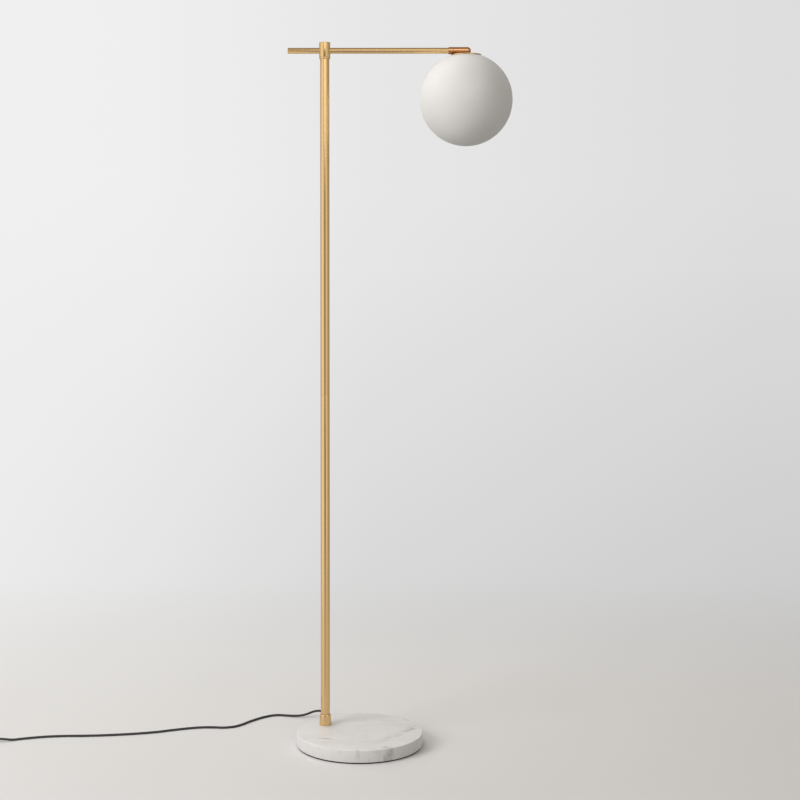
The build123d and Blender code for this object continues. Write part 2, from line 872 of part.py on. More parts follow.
# The route was placed by hand: out behind the foot, over a low arch to the left, then
# along the floor to the foot switch.
floor_route = [
    (pole_x, relief_end, cord_hole_height),
    (pole_x, 162.0, cord_hole_height),
    (-79.5, 194.0, 15.0),
    (-102.5, 211.0, 13.0),
    (-130.5, 195.0, 5.0),
    (-162.5, 203.0, floor),
    (-198.5, 213.0, floor),
    (-242.5, 172.0, floor),
    (-283.5, 107.0, floor),
    (-350.5, 118.0, floor),
    (-414.5, 94.5, floor),
    (-454.5, 76.0, floor),
    (-515.5, 61.0, floor),
    (-586.5, 50.5, floor),
    (-650.5, 49.0, floor),
    (-694.5, 43.0, floor),
    (-738.0, 28.5, floor),
    (-758.0, 19.5, floor),
    (-776.0, switch_y, switch_axis),
    (switch_in, switch_y, switch_axis),
]
floor_radii = corner_radii(floor_route)
print("corner radii", [round(radius, 1) for radius in floor_radii])
tube("cord_run", floor_route, floor_radii)

tail_route = [
    (switch_out, switch_y, switch_axis),
    (switch_out - straight_lead, switch_y, switch_axis),
    (switch_out - straight_lead - drop_lead, switch_y, floor),
    (coil_x + cord_diameter, switch_y, floor),
]
tube("cord_tail", tail_route, corner_radii(tail_route))


# Put-away coil

def coil_points():
    """Points and directions of the coil's line, one at each quarter turn.

    The lead comes in at the back, heading along -X, and turns anticlockwise. It spirals
    in, out, in and out again, and climbs a layer in each half turn where that reverses.
    """
    reversals, total = [], 0
    for count in coil_quarters[:-1]:
        total += count
        reversals.append(total)
    last = sum(coil_quarters)
    step = coil_pitch / 4
    points, headings = [], []
    radius, height = coil_radius, floor
    for quarter in range(last + 1):
        angle = pi / 2 + quarter * pi / 2
        at_reversal = quarter in reversals
        climbed = sum(quarter > reversal for reversal in reversals) + 0.5 * at_reversal
        inwards = -1 if sum(quarter >= reversal for reversal in reversals) % 2 == 0 else 1
        points.append(
            Vector(coil_x + radius * cos(angle), coil_y + radius * sin(angle), floor + climbed * coil_pitch)
        )
        radial = 0.0 if at_reversal or quarter in (0, last) else inwards * coil_pitch / (2 * pi)
        climb = 1.6 * coil_pitch / pi if at_reversal else 0.0
        headings.append(
            Vector(
                radial * cos(angle) - radius * sin(angle),
                radial * sin(angle) + radius * cos(angle),
                climb,
            ).normalized()
        )
        radius += inwards * step
    return points, headings


def biarc_joint(start, start_heading, end, end_heading):
    """Where two arcs meet that leave a start and reach an end in given directions."""
    across = end - start
    both = start_heading + end_heading
    square = 2 * (1 - start_heading.dot(end_heading))
    reach = across.dot(both)
    run = (sqrt(reach ** 2 + square * across.dot(across)) - reach) / square
    return (start + start_heading * run + end - end_heading * run) / 2


points, headings = coil_points()
with BuildPart() as cord_coil:
    with BuildLine() as turns:
        Line(points[0] + (cord_diameter, 0, 0), points[0])
        for start, end, heading, next_heading in zip(points, points[1:], headings, headings[1:]):
            joint = biarc_joint(start, heading, end, next_heading)
            first = TangentArc(start, joint, tangent=heading)
            TangentArc(joint, end, tangent=first % 1)
        Line(points[-1], points[-1] + (cord_diameter, 0, 0))
    coil_line = turns.wire()
    with BuildSketch(Plane(origin=coil_line @ 0, z_dir=coil_line % 0)):
        Circle(cord_radius)
    sweep(path=coil_line)
save(cord_coil, "cord_coil")
coil_length = coil_line.length
print("coil length", round(coil_length, 1), "volume share",
      round(cord_coil.part.volume / (pi * cord_radius ** 2 * coil_length), 4))


def least_gap(line, spacing):
    """The least distance between two stretches of a tube that aren't neighbours."""
    count = int(line.length / spacing)
    along = [line @ (k / count) for k in range(count + 1)]
    apart = int(6 * cord_diameter / spacing)
    nearest = min(
        (along[i] - along[j]).length
        for i in range(len(along))
        for j in range(i + apart, len(along))
    )
    return nearest - cord_diameter


print("least gap between turns", round(least_gap(coil_line, 1.5), 3))

plug_back = plug_face_x - plug_length - plug_relief
coil_end = coil_line @ 1
plug_route = [
    (coil_end.X, coil_end.Y, coil_end.Z),
    (coil_end.X + straight_lead, coil_end.Y, coil_end.Z),
    (plug_back - straight_lead, coil_end.Y, plug_axis),
    (plug_back, coil_end.Y, plug_axis),
]
tube("plug_cord", plug_route, corner_radii(plug_route))

# Foot switch: two shells, a sprung button, the contact block and two screws

button_radius = button_diameter / 2
switch_wall = 2.0
switch_edge = 4.0
screw_spacing = 42.0
screw_post_radius = 3.0
screw_hole_radius = 1.6
screw_core_radius = 1.25
screw_head_radius = 2.7
screw_head_height = 1.4
screw_head_gap = 0.2
screw_reach = 4.0
slot_length = 3.2
slot_width = 0.7
button_flange = 1.8
button_flange_height = 1.4
button_edge = 1.6
button_rise = 3.6
button_rings = 3
button_ring_spacing = 2.2
button_ring_width = 1.1
button_ring_depth = 0.4
block_length = 20.0
block_width = 14.0
switch_place = Plane((switch_x, switch_y, 0))
relief_hole = relief_root + clearance
relief_seat = 2.5

with BuildPart() as switch_base:
    with BuildSketch(switch_place):
        SlotOverall(switch_length, switch_width)
    extrude(amount=switch_split)
    chamfer(switch_base.faces().sort_by(Axis.Z)[0].edges(), insert_chamfer)
    with BuildSketch(switch_place.offset(switch_wall)):
        SlotOverall(switch_length - 2 * switch_wall, switch_width - 2 * switch_wall)
    extrude(amount=switch_split, mode=Mode.SUBTRACT)
    with BuildSketch(switch_place.offset(switch_wall)):
        with GridLocations(screw_spacing, 0, 2, 1):
            Circle(screw_post_radius)
    extrude(amount=switch_split - switch_wall)
    with BuildSketch(switch_place):
        with GridLocations(screw_spacing, 0, 2, 1):
            Circle(screw_hole_radius)
    extrude(amount=switch_split, mode=Mode.SUBTRACT)
    with BuildSketch(switch_place):
        with GridLocations(screw_spacing, 0, 2, 1):
            Circle(screw_head_radius + screw_head_gap)
    extrude(amount=screw_head_height + screw_head_gap, mode=Mode.SUBTRACT)
    with BuildSketch(Plane(origin=(switch_x, switch_y, switch_axis), z_dir=(1, 0, 0))):
        Circle(relief_hole)
    extrude(amount=switch_length, both=True, mode=Mode.SUBTRACT)
save(switch_base, "switch_base")

with BuildPart() as switch_cover:
    with BuildSketch(switch_place.offset(switch_split)):
        SlotOverall(switch_length, switch_width)
    extrude(amount=switch_top - switch_split)
    fillet(switch_cover.faces().sort_by(Axis.Z)[-1].edges(), switch_edge)
    with BuildSketch(switch_place.offset(switch_split)):
        SlotOverall(switch_length - 2 * switch_wall, switch_width - 2 * switch_wall)
    extrude(amount=switch_top - switch_split - switch_wall, mode=Mode.SUBTRACT)
    with BuildSketch(switch_place.offset(switch_split)):
        Circle(button_radius + button_gap)
    extrude(amount=switch_top, mode=Mode.SUBTRACT)
    with BuildSketch(Plane(origin=(switch_x, switch_y, switch_axis), z_dir=(1, 0, 0))):
        Circle(relief_hole)
    extrude(amount=switch_length, both=True, mode=Mode.SUBTRACT)
    with BuildSketch(switch_place.offset(switch_split)):
        with GridLocations(screw_spacing, 0, 2, 1):
            Circle(screw_post_radius)
    extrude(amount=switch_top - switch_split - switch_wall)
    with BuildSketch(switch_place.offset(switch_split)):
        with GridLocations(screw_spacing, 0, 2, 1):
            Circle(screw_core_radius + fit_gap)
    extrude(amount=screw_reach + 2 * screw_hole_radius, mode=Mode.SUBTRACT)
save(switch_cover, "switch_cover")

button_top = switch_top + button_rise
button_flange_z = switch_top - switch_wall - button_gap - button_flange_height

with BuildPart() as switch_button:
    with BuildSketch(switch_place.offset(button_flange_z)):
        Circle(button_radius + button_flange)
    extrude(amount=button_flange_height)
    with BuildSketch(switch_place.offset(button_flange_z)):
        Circle(button_radius)
    extrude(amount=button_top - button_flange_z)
    fillet(switch_button.faces().sort_by(Axis.Z)[-1].edges(), button_edge)
    for ring in range(button_rings):
        ring_outside = button_radius - 2 * button_edge - ring * button_ring_spacing
        with BuildSketch(switch_place.offset(button_top)):
            Circle(ring_outside)
            Circle(ring_outside - button_ring_width, mode=Mode.SUBTRACT)
        extrude(amount=-button_ring_depth, mode=Mode.SUBTRACT)
save(switch_button, "switch_button")

with BuildPart() as switch_block:
    with BuildSketch(switch_place.offset(switch_wall)):
        Rectangle(block_length, block_width)
    extrude(amount=button_flange_z - button_travel - 2 * button_gap - switch_wall)
    fillet(switch_block.edges().filter_by(Axis.Z), button_ring_width)
save(switch_block, "switch_block")

with BuildPart() as switch_screws:
    for side in (-1, 1):
        screw_place = Plane((switch_x + side * screw_spacing / 2, switch_y, screw_head_gap))
        with BuildSketch(screw_place):
            Circle(screw_head_radius)
        extrude(amount=screw_head_height)
        with BuildSketch(screw_place):
            Circle(screw_core_radius)
        extrude(amount=switch_split + screw_reach)
        with BuildSketch(screw_place):
            Rectangle(slot_length, slot_width)
            Rectangle(slot_width, slot_length)
        extrude(amount=screw_head_height / 2, mode=Mode.SUBTRACT)
save(switch_screws, "switch_screws")

for name, side in (("switch_relief_lamp", 1), ("switch_relief_plug", -1)):
    mouth = (switch_x + side * (switch_length / 2 - relief_seat), switch_y, switch_axis)
    ribbed_sleeve(name, mouth, (side, 0, 0), relief_seat + clearance, relief_seat + relief_length)

# Mains plug

def plug_section(distance):
    """The level plane across the plug, at a distance behind its face."""
    origin = (plug_face_x - distance, coil_end.Y, plug_axis)
    return Plane(origin=origin, x_dir=(0, 1, 0), z_dir=(-1, 0, 0))


grip_taper = plug_length - plug_head

with BuildPart() as plug_body:
    with BuildSketch(plug_section(0)):
        RectangleRounded(plug_width, plug_height, plug_corner)
    extrude(amount=plug_head)
    with BuildSketch(plug_section(plug_head)):
        RectangleRounded(plug_width, plug_height, plug_corner)
    with BuildSketch(plug_section(plug_length)):
        RectangleRounded(grip_width, grip_height, grip_corner)
    loft()
    with BuildSketch(plug_section(plug_length)):
        Circle(plug_neck_radius)
    with BuildSketch(plug_section(plug_length + plug_relief)):
        Circle(relief_tip)
    loft()
    for groove_number in range(grip_grooves):
        distance = plug_head + (groove_number + 0.5) * grip_taper / grip_grooves
        share = (distance - plug_head + grip_groove_width) / grip_taper
        wide = plug_width + (grip_width - plug_width) * share - 2 * grip_groove_depth
        tall = plug_height + (grip_height - plug_height) * share - 2 * grip_groove_depth
        with BuildSketch(plug_section(distance)):
            Rectangle(plug_width + grip_groove_width, plug_height + grip_groove_width)
            RectangleRounded(wide, tall, grip_corner, mode=Mode.SUBTRACT)
        extrude(amount=grip_groove_width, mode=Mode.SUBTRACT)
save(plug_body, "plug_body")

with BuildPart() as plug_blades:
    for side, blade_width in ((-1, narrow_blade), (1, wide_blade)):
        across = coil_end.Y + side * blade_spacing / 2
        with BuildSketch(Plane(origin=(plug_face_x, across, plug_axis), x_dir=(0, 1, 0), z_dir=(1, 0, 0))):
            Rectangle(blade_thickness, blade_width)
        extrude(amount=blade_length)
    chamfer(plug_blades.faces().sort_by(Axis.X)[-2:].edges(), blade_chamfer)
    hole_centre = (plug_face_x + blade_hole_distance, coil_end.Y, plug_axis)
    with BuildSketch(Plane(origin=hole_centre, z_dir=(0, 1, 0))):
        Circle(blade_hole_radius)
    extrude(amount=blade_spacing, both=True, mode=Mode.SUBTRACT)
save(plug_blades, "plug_blades")
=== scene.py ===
import json
from math import cos, pi, radians, sin

import bpy
from bpy.props import FloatProperty, FloatVectorProperty, IntProperty, PointerProperty
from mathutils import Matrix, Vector


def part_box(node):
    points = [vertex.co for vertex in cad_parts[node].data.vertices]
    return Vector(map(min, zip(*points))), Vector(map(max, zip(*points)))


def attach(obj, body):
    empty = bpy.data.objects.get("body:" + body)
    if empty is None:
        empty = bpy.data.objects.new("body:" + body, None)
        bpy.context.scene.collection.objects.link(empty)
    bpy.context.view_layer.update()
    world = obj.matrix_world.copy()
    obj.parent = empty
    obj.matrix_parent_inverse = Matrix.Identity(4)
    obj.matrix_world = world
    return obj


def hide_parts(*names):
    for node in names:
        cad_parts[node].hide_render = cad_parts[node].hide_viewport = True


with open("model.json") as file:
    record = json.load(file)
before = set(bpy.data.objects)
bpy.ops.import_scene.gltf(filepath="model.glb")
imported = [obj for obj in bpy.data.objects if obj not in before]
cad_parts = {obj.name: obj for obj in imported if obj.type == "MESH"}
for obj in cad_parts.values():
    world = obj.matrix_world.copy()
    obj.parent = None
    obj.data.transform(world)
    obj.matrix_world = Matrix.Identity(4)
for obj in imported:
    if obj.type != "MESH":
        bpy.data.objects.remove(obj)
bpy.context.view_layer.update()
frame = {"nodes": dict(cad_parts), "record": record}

bl_info = {
    "name": "Globe shade floor lamp",
    "version": (1, 0, 0),
    "blender": (4, 5, 0),
    "location": "View3D > Sidebar > Floor lamp",
    "description": "Dresses the packed floor lamp with finished pieces and materials",
    "category": "Object",
}

# Everything is in metres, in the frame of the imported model: the origin is on the floor
# under the foot, +X runs along the arm to the globe and +Y away from the viewer.

DIRECTIONS = {"X": Vector((1, 0, 0)), "Y": Vector((0, 1, 0)), "Z": Vector((0, 0, 1))}
FACING = {"X": (0, pi / 2, 0), "Y": (-pi / 2, 0, 0), "Z": (0, 0, 0)}


# What the frame says about places and sizes

def low(node):
    """The lowest corner of a CAD node."""
    return Vector(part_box(node)[0])


def high(node):
    """The highest corner of a CAD node."""
    return Vector(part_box(node)[1])


def middle(node):
    """The middle of a CAD node's box."""
    return (low(node) + high(node)) / 2


def width(node, axis=0):
    """How far a CAD node reaches along one axis: 0 for X, 1 for Y, 2 for Z."""
    return high(node)[axis] - low(node)[axis]


def span(node, axis=2):
    """Where a CAD node starts and ends along one axis, numbered as for width."""
    return low(node)[axis], high(node)[axis]


pole_foot = Vector((middle("lower_pole").x, middle("lower_pole").y, 0))
arm_line = middle("arm_tube")
globe_middle = Vector((middle("glass_globe").x, middle("glass_globe").y, low("glass_globe").z))
globe_middle.z += width("glass_globe") / 2

# The photograph's camera
camera_place = (0.0299, -3.4, 1.0606)
camera_turn = (pi / 2 - 0.0364, 0.0002, 0.0047)
camera_shift = (0.0425, -0.11)
camera_lens = 71.40


# Settings that a user would change

def length_setting(name, description, default, lowest, highest):
    """A length in metres."""
    return FloatProperty(
        name=name, description=description, default=default, min=lowest, max=highest, unit="LENGTH"
    )


def colour_setting(name, description, default):
    """A colour without alpha."""
    return FloatVectorProperty(
        name=name, description=description, default=default, subtype="COLOR", min=0, max=1
    )


class LampSizes(bpy.types.PropertyGroup):
    """Sizes of the dressing that the frame leaves open."""

    sides: IntProperty(
        name="Sides", description="Sides of a turned piece", default=128, min=24, max=512
    )
    brass_edge: length_setting("Brass edge", "Rounding of the brass edges", 0.00035, 0.0001, 0.001)
    marble_edge: length_setting("Marble edge", "Rounding of the marble's rims", 0.0018, 0.0005, 0.004)
    lead_diameter: length_setting("Lead diameter", "Diameter of the mains lead", 0.005, 0.003, 0.008)
    glass_wall: length_setting("Glass wall", "Thickness of the globe's glass", 0.003, 0.002, 0.005)


class LampColours(bpy.types.PropertyGroup):
    """Colours of the finishes."""

    brass: colour_setting("Brass", "Satin brass of the pole and arm", (0.77, 0.53, 0.26))
    copper: colour_setting("Copper tone", "Warmer brass of the arm's end fitting", (0.86, 0.46, 0.22))
    marble: colour_setting("Marble", "Ground colour of the marble", (0.79, 0.785, 0.78))
    vein: colour_setting("Vein", "Darkest colour of the marble's veins", (0.20, 0.205, 0.215))
    glass: colour_setting("Opal glass", "Colour of the globe", (0.86, 0.85, 0.82))
    lead: colour_setting("Lead", "Colour of the mains lead", (0.035, 0.035, 0.036))
    plastic: colour_setting("Dark plastic", "Colour of the foot switch and plug", (0.022, 0.022, 0.023))
    floor: colour_setting("Floor", "Colour of the floor", (0.80, 0.80, 0.797))


# Finishes

def dim(colour, share):
    """A colour times a share: darker below 1 and lighter above."""
    return tuple(share * part for part in colour)


class Nodes:
    """A node tree, with short ways to add nodes and to join them."""

    def __init__(self, tree):
        self.tree = tree

    def add(self, kind, **settings):
        """A new node with its settings."""
        node = self.tree.nodes.new(kind)
        for name, value in settings.items():
            setattr(node, name, value)
        return node

    def join(self, source, target):
        self.tree.links.new(source, target)

    def of(self, kind, name):
        """The first node of a kind, by the name of its output or input."""
        node = next(node for node in self.tree.nodes if node.type == kind)
        return node.inputs[name] if name in node.inputs else node.outputs[name]

    def rays(self, name):
        """1 for one kind of light path, such as Is Camera Ray, otherwise 0."""
        return self.add("ShaderNodeLightPath").outputs[name]

    def vector(self, operation, source):
        """The length of a vector, or the vector made 1 long."""
        node = self.add("ShaderNodeVectorMath", operation=operation)
        self.join(source, node.inputs[0])
        return node.outputs["Value" if operation == "LENGTH" else "Vector"]

    def parts(self, source):
        """The X, Y and Z of a vector."""
        node = self.add("ShaderNodeSeparateXYZ")
        self.join(source, node.inputs[0])
        return node.outputs

    def noise(self, vector, scale, detail=3.0, roughness=0.5, distortion=0.0):
        """A noise pattern's value, about 0.5 on average."""
        node = self.add("ShaderNodeTexNoise")
        node.inputs["Scale"].default_value = scale
        node.inputs["Detail"].default_value = detail
        node.inputs["Roughness"].default_value = roughness
        node.inputs["Distortion"].default_value = distortion
        self.join(vector, node.inputs["Vector"])
        return node.outputs["Fac"]

    def ramp(self, value, stops):
        """Turns a value into a colour or number by stops of (place, grey or colour)."""
        node = self.add("ShaderNodeValToRGB")
        band = node.color_ramp
        while len(band.elements) < len(stops):
            band.elements.new(1.0)
        for element, (place, tone) in zip(band.elements, stops):
            element.position = place
            element.color = (tone, tone, tone, 1) if isinstance(tone, (int, float)) else (*tone, 1)
        self.join(value, node.inputs["Fac"])
        return node.outputs["Color"]

    def maths(self, operation, first, second=0.0):
        """One sum on values or plain numbers."""
        node = self.add("ShaderNodeMath", operation=operation)
        for slot, value in zip(node.inputs, (first, second)):
            if isinstance(value, (int, float)):
                slot.default_value = value
            else:
                self.join(value, slot)
        return node.outputs[0]

    def times(self, first, second):
        """Two values or numbers multiplied."""
        return self.maths("MULTIPLY", first, second)

    def weighed(self, first, first_weight, second, second_weight):
        """The sum of two values, each times its weight."""
        return self.maths("ADD", self.times(first, first_weight), self.times(second, second_weight))

    def spread(self, value, to_low, to_high, from_low=0.0, from_high=1.0, bend="LINEAR"):
        """Maps a range of values on another."""
        node = self.add("ShaderNodeMapRange", interpolation_type=bend)
        for name, number in (
            ("From Min", from_low), ("From Max", from_high), ("To Min", to_low), ("To Max", to_high)
        ):
            node.inputs[name].default_value = number
        self.join(value, node.inputs["Value"])
        return node.outputs["Result"]

    def blend(self, share, first, second, mode="MIX"):
        """Mixes two colours by a share."""
        node = self.add("ShaderNodeMix", data_type="RGBA", blend_type=mode)
        for slot, value in zip((node.inputs[0], node.inputs[6], node.inputs[7]), (share, first, second)):
            if isinstance(value, (int, float)):
                slot.default_value = value
            elif isinstance(value, bpy.types.NodeSocket):
                self.join(value, slot)
            else:
                slot.default_value = (*value, 1)
        return node.outputs[2]


class Finish(Nodes):
    """A material under construction: its nodes and its main shader."""

    def __init__(self, name, roughness, metallic=0.0):
        self.material = bpy.data.materials.new(name)
        self.material.use_nodes = True
        super().__init__(self.material.node_tree)
        self.shader = next(n for n in self.tree.nodes if n.type == "BSDF_PRINCIPLED")
        self.shader.inputs["Roughness"].default_value = roughness
        self.shader.inputs["Metallic"].default_value = metallic
        self.place = self.add("ShaderNodeTexCoord").outputs["Object"]

    def mapped(self, scale=(1, 1, 1), turn=(0, 0, 0), move=(0, 0, 0)):
        """Object coordinates, moved, turned and scaled."""
        node = self.add("ShaderNodeMapping")
        node.inputs["Location"].default_value = move
        node.inputs["Rotation"].default_value = turn
        node.inputs["Scale"].default_value = scale
        self.join(self.place, node.inputs["Vector"])
        return node.outputs["Vector"]

    def relief(self, height, depth, strength):
        """Raises the surface by a height pattern, to a depth in metres."""
        node = self.add("ShaderNodeBump")
        node.inputs["Strength"].default_value = strength
        node.inputs["Distance"].default_value = depth
        self.join(height, node.inputs["Height"])
        self.join(node.outputs["Normal"], self.shader.inputs["Normal"])

    def colour(self, socket):
        self.join(socket, self.shader.inputs["Base Color"])

    def gloss(self, socket):
        self.join(socket, self.shader.inputs["Roughness"])


def brushed_metal(name, tint, roughness, grain):
    """Metal with fine brushing along one axis and slight handling marks in its gloss."""
    finish = Finish(name, roughness, metallic=1.0)
    along = {"X": (8, 1500, 1500), "Y": (1500, 8, 1500), "Z": (1500, 1500, 8)}[grain]
    brushing = finish.noise(finish.mapped(scale=along), 1.0, detail=2.0)
    clouds = finish.noise(finish.mapped(), 14.0, detail=3.0)
    tone = finish.weighed(brushing, 0.4, clouds, 0.6)
    finish.colour(finish.ramp(tone, [(0.3, dim(tint, 0.95)), (0.7, tint)]))
    finish.gloss(finish.spread(tone, roughness - 0.03, roughness + 0.04, 0.3, 0.7))
    finish.relief(brushing, 0.000012, 0.05)
    return finish.material


def copper_finish(name, tint):
    """Warm copper-toned metal with painted shade: darker underneath, towards its top and at its domed tip,
    as photographed.
    """
    finish = Finish(name, 0.20, metallic=1.0)
    spot = finish.parts(finish.place)
    radius = width("end_ring", 1) / 2
    # Painted shade: the colour darkens below the middle and towards the top of the fitting, and near its
    # domed tip.
    height = finish.spread(spot["Z"], 0.0, 1.0, arm_line.z - radius, arm_line.z + radius)
    shade = finish.ramp(height, [(0.05, 0.30), (0.30, 0.36), (0.50, 1.0), (0.66, 1.0), (0.95, 0.50)])
    tip = high("end_fitting").x
    end = finish.spread(spot["X"], 1.0, 0.35, tip - 0.9 * radius, tip - 0.3 * radius)
    grain = finish.noise(finish.mapped(scale=(8, 1500, 1500)), 1.0, detail=2.0)
    shade = finish.times(finish.times(shade, end), finish.spread(grain, 0.94, 1.0))
    painted_shade_copper = tuple(part ** 1.6 for part in tint)
    finish.colour(finish.blend(shade, dim(painted_shade_copper, 0.3), tint))
    finish.gloss(finish.spread(grain, 0.18, 0.24, 0.3, 0.7))
    return finish.material


def plain_metal(name, tint, roughness):
    """Turned or plated metal of the small parts, with a faint grain."""
    finish = Finish(name, roughness, metallic=1.0)
    grain = finish.noise(finish.mapped(), 900.0, detail=2.0)
    finish.colour(finish.ramp(grain, [(0.3, dim(tint, 0.86)), (0.7, tint)]))
    finish.gloss(finish.spread(grain, roughness - 0.06, roughness + 0.08, 0.3, 0.7))
    finish.relief(grain, 0.00001, 0.3)
    return finish.material


def moulded(name, tint, roughness, grain_scale=2600.0, depth=0.00003, specular=0.45):
    """Moulded plastic or rubber with a fine spark-eroded texture."""
    finish = Finish(name, roughness)
    finish.shader.inputs["Specular IOR Level"].default_value = specular
    texture = finish.noise(finish.mapped(), grain_scale, detail=3.0, roughness=0.6)
    clouds = finish.noise(finish.mapped(), 60.0, detail=3.0)
    finish.colour(finish.ramp(clouds, [(0.3, dim(tint, 0.85)), (0.7, tint)]))
    finish.gloss(finish.spread(clouds, roughness - 0.05, roughness + 0.05, 0.3, 0.7))
    finish.relief(texture, depth, 0.5)
    return finish.material


def vein(finish, wander, start, end, half_width, bend):
    """How strongly one vein colours a point: 1 on its line, 0 away from it.

    The line runs from start to end over the foot in plan, bent by a shared noise.
    """
    line = Vector(end) - Vector(start)
    along, across = line.normalized(), Vector((-line.y, line.x)).normalized()
    spot = finish.parts(finish.place)
    x = finish.maths("SUBTRACT", spot["X"], start[0])
    y = finish.maths("SUBTRACT", spot["Y"], start[1])
    side = finish.weighed(x, across.x, y, across.y)
    side = finish.maths("ADD", side, finish.times(finish.maths("SUBTRACT", wander, 0.5), bend))
    reach = finish.weighed(x, along.x, y, along.y)
    near = finish.spread(finish.maths("ABSOLUTE", side), 1.0, 0.0, 0.0, half_width)
    length = line.length
    begins = finish.spread(reach, 0.0, 1.0, -0.2 * length, 0.15 * length)
    ends = finish.spread(reach, 1.0, 0.0, 0.8 * length, 1.15 * length)
    return finish.times(near, finish.times(begins, ends))


def marble_finish(colours):
    """Honed white marble: pale grey clouds, hair veins, and the veins that the photo shows."""
    finish = Finish("marble", 0.32)
    finish.shader.inputs["Specular IOR Level"].default_value = 0.4
    finish.shader.inputs["Subsurface Weight"].default_value = 0.06
    finish.shader.inputs["Subsurface Radius"].default_value = (0.006, 0.005, 0.004)
    wander = finish.noise(finish.mapped(), 22.0, detail=5.0, roughness=0.6)
    clouds = finish.noise(finish.mapped(scale=(1.0, 1.4, 1.0), turn=(0, 0, 0.5)), 9.0, detail=6.0,
                          roughness=0.6, distortion=0.8)
    hairs = finish.noise(finish.mapped(scale=(0.7, 1.5, 0.7), turn=(0.2, 0.1, -0.5)), 14.0, detail=8.0,
                         roughness=0.62, distortion=1.3)
    hair_lines = finish.spread(
        finish.maths("ABSOLUTE", finish.maths("SUBTRACT", hairs, 0.5)), 1.0, 0.0, 0.0, 0.018
    )
    patches = finish.spread(finish.noise(finish.mapped(), 46.0, detail=4.0), 0.15, 1.0, 0.42, 0.62)
    cloud_tone = finish.spread(clouds, 0.0, 0.17, 0.50, 0.80)
    shade = finish.maths("ADD", cloud_tone, finish.times(hair_lines, 0.11))
    for start, end, half_width, bend, weight in (
        ((-0.108, -0.046), (0.030, -0.078), 0.0040, 0.020, 0.20),
        ((-0.086, -0.052), (-0.062, -0.054), 0.0034, 0.008, 0.70),
        ((0.046, -0.064), (0.128, 0.042), 0.0150, 0.050, 0.42),
        ((0.090, 0.104), (0.112, 0.076), 0.0060, 0.030, 0.34),
        ((0.004, 0.100), (0.030, 0.046), 0.0030, 0.022, 0.20),
        ((0.050, -0.110), (0.078, -0.124), 0.0100, 0.035, 0.80),
        ((-0.010, -0.128), (0.004, -0.140), 0.0050, 0.020, 0.50),
    ):
        strength = finish.times(vein(finish, wander, start, end, half_width, bend), weight)
        shade = finish.maths("ADD", shade, finish.times(strength, patches))
    shade = finish.maths("MINIMUM", shade, 1.0)
    finish.colour(finish.blend(shade, tuple(colours.marble), tuple(colours.vein)))
    finish.gloss(finish.spread(clouds, 0.27, 0.38, 0.3, 0.7))
    finish.relief(finish.noise(finish.mapped(), 420.0, detail=4.0), 0.00002, 0.25)
    return finish.material


def opal_glass_finish(colours):
    """Matte opal glass: milky through its depth, with a faint mould and polish variation."""
    finish = Finish("opal_glass", 0.42)
    shader = finish.shader.inputs
    shader["Specular IOR Level"].default_value = 0.35
    shader["Subsurface Weight"].default_value = 0.25
    shader["Subsurface Radius"].default_value = (0.020, 0.018, 0.015)
    shader["Subsurface Scale"].default_value = 1.0
    clouds = finish.noise(finish.mapped(), 11.0, detail=3.0)
    tint = tuple(colours.glass)
    finish.colour(finish.ramp(clouds, [(0.25, dim(tint, 0.985)), (0.75, tint)]))
    finish.gloss(finish.spread(clouds, 0.38, 0.46, 0.3, 0.7))
    finish.relief(finish.noise(finish.mapped(), 700.0, detail=3.0), 0.000012, 0.2)
    return finish.material


def lead_finish(name, tint):
    """The lead's charcoal sheath: smooth extruded PVC with faint drawing lines and dust."""
    finish = Finish(name, 0.46)
    finish.shader.inputs["Specular IOR Level"].default_value = 0.4
    dust = finish.noise(finish.mapped(), 160.0, detail=5.0, roughness=0.65)
    grain = finish.noise(finish.mapped(), 2400.0, detail=2.0)
    finish.colour(finish.ramp(dust, [(0.35, tint), (0.8, dim(tint, 1.5))]))
    finish.gloss(finish.spread(dust, 0.40, 0.56, 0.3, 0.7))
    finish.relief(grain, 0.00002, 0.35)
    return finish.material


def make_finishes(colours):
    """Every finish of the lamp, by the record's slot names."""
    brass, copper = tuple(colours.brass), tuple(colours.copper)
    return {
        "satin_brass": brushed_metal("satin_brass", brass, 0.21, "Z"),
        "copper_brass": copper_finish("copper_brass", copper),
        "plain_brass": plain_metal("plain_brass", (0.62, 0.42, 0.17), 0.34),
        "plated_steel": plain_metal("plated_steel", (0.56, 0.57, 0.58), 0.36),
        "marble": marble_finish(colours),
        "floor_pad": moulded("floor_pad", (0.014, 0.014, 0.014), 0.75, 900.0, 0.00008, 0.3),
        "opal_glass": opal_glass_finish(colours),
        "opal_plastic": moulded("opal_plastic", (0.80, 0.80, 0.77), 0.42, 1200.0, 0.00001),
        "white_plastic": moulded("white_plastic", (0.76, 0.76, 0.73), 0.40, 1200.0, 0.00001),
        "holder_ceramic": moulded("holder_ceramic", (0.78, 0.76, 0.71), 0.18, 300.0, 0.00001, 0.5),
        "clear_rubber": moulded("clear_rubber", (0.62, 0.62, 0.60), 0.38, 700.0, 0.00001),
        "lead_sheath": lead_finish("lead_sheath", tuple(colours.lead)),
        "dark_plastic": moulded("dark_plastic", tuple(colours.plastic), 0.48),
        "dark_button": moulded("dark_button", dim(colours.plastic, 1.5), 0.28, 1500.0, 0.000008, 0.5),
        "arm_brass": brushed_metal("arm_brass", brass, 0.21, "X"),
    }


# Modelling helpers

def deselect():
    """Leaves edit mode with nothing selected."""
    if bpy.context.mode != "OBJECT":
        bpy.ops.object.mode_set(mode="OBJECT")
    bpy.ops.object.select_all(action="DESELECT")


def only(piece):
    """Makes one piece the selected and active one."""
    deselect()
    piece.select_set(True)
    bpy.context.view_layer.objects.active = piece


def edit_all():
    """Opens the active piece for editing, with all of it selected."""
    bpy.ops.object.mode_set(mode="EDIT")
    bpy.ops.mesh.select_all(action="SELECT")


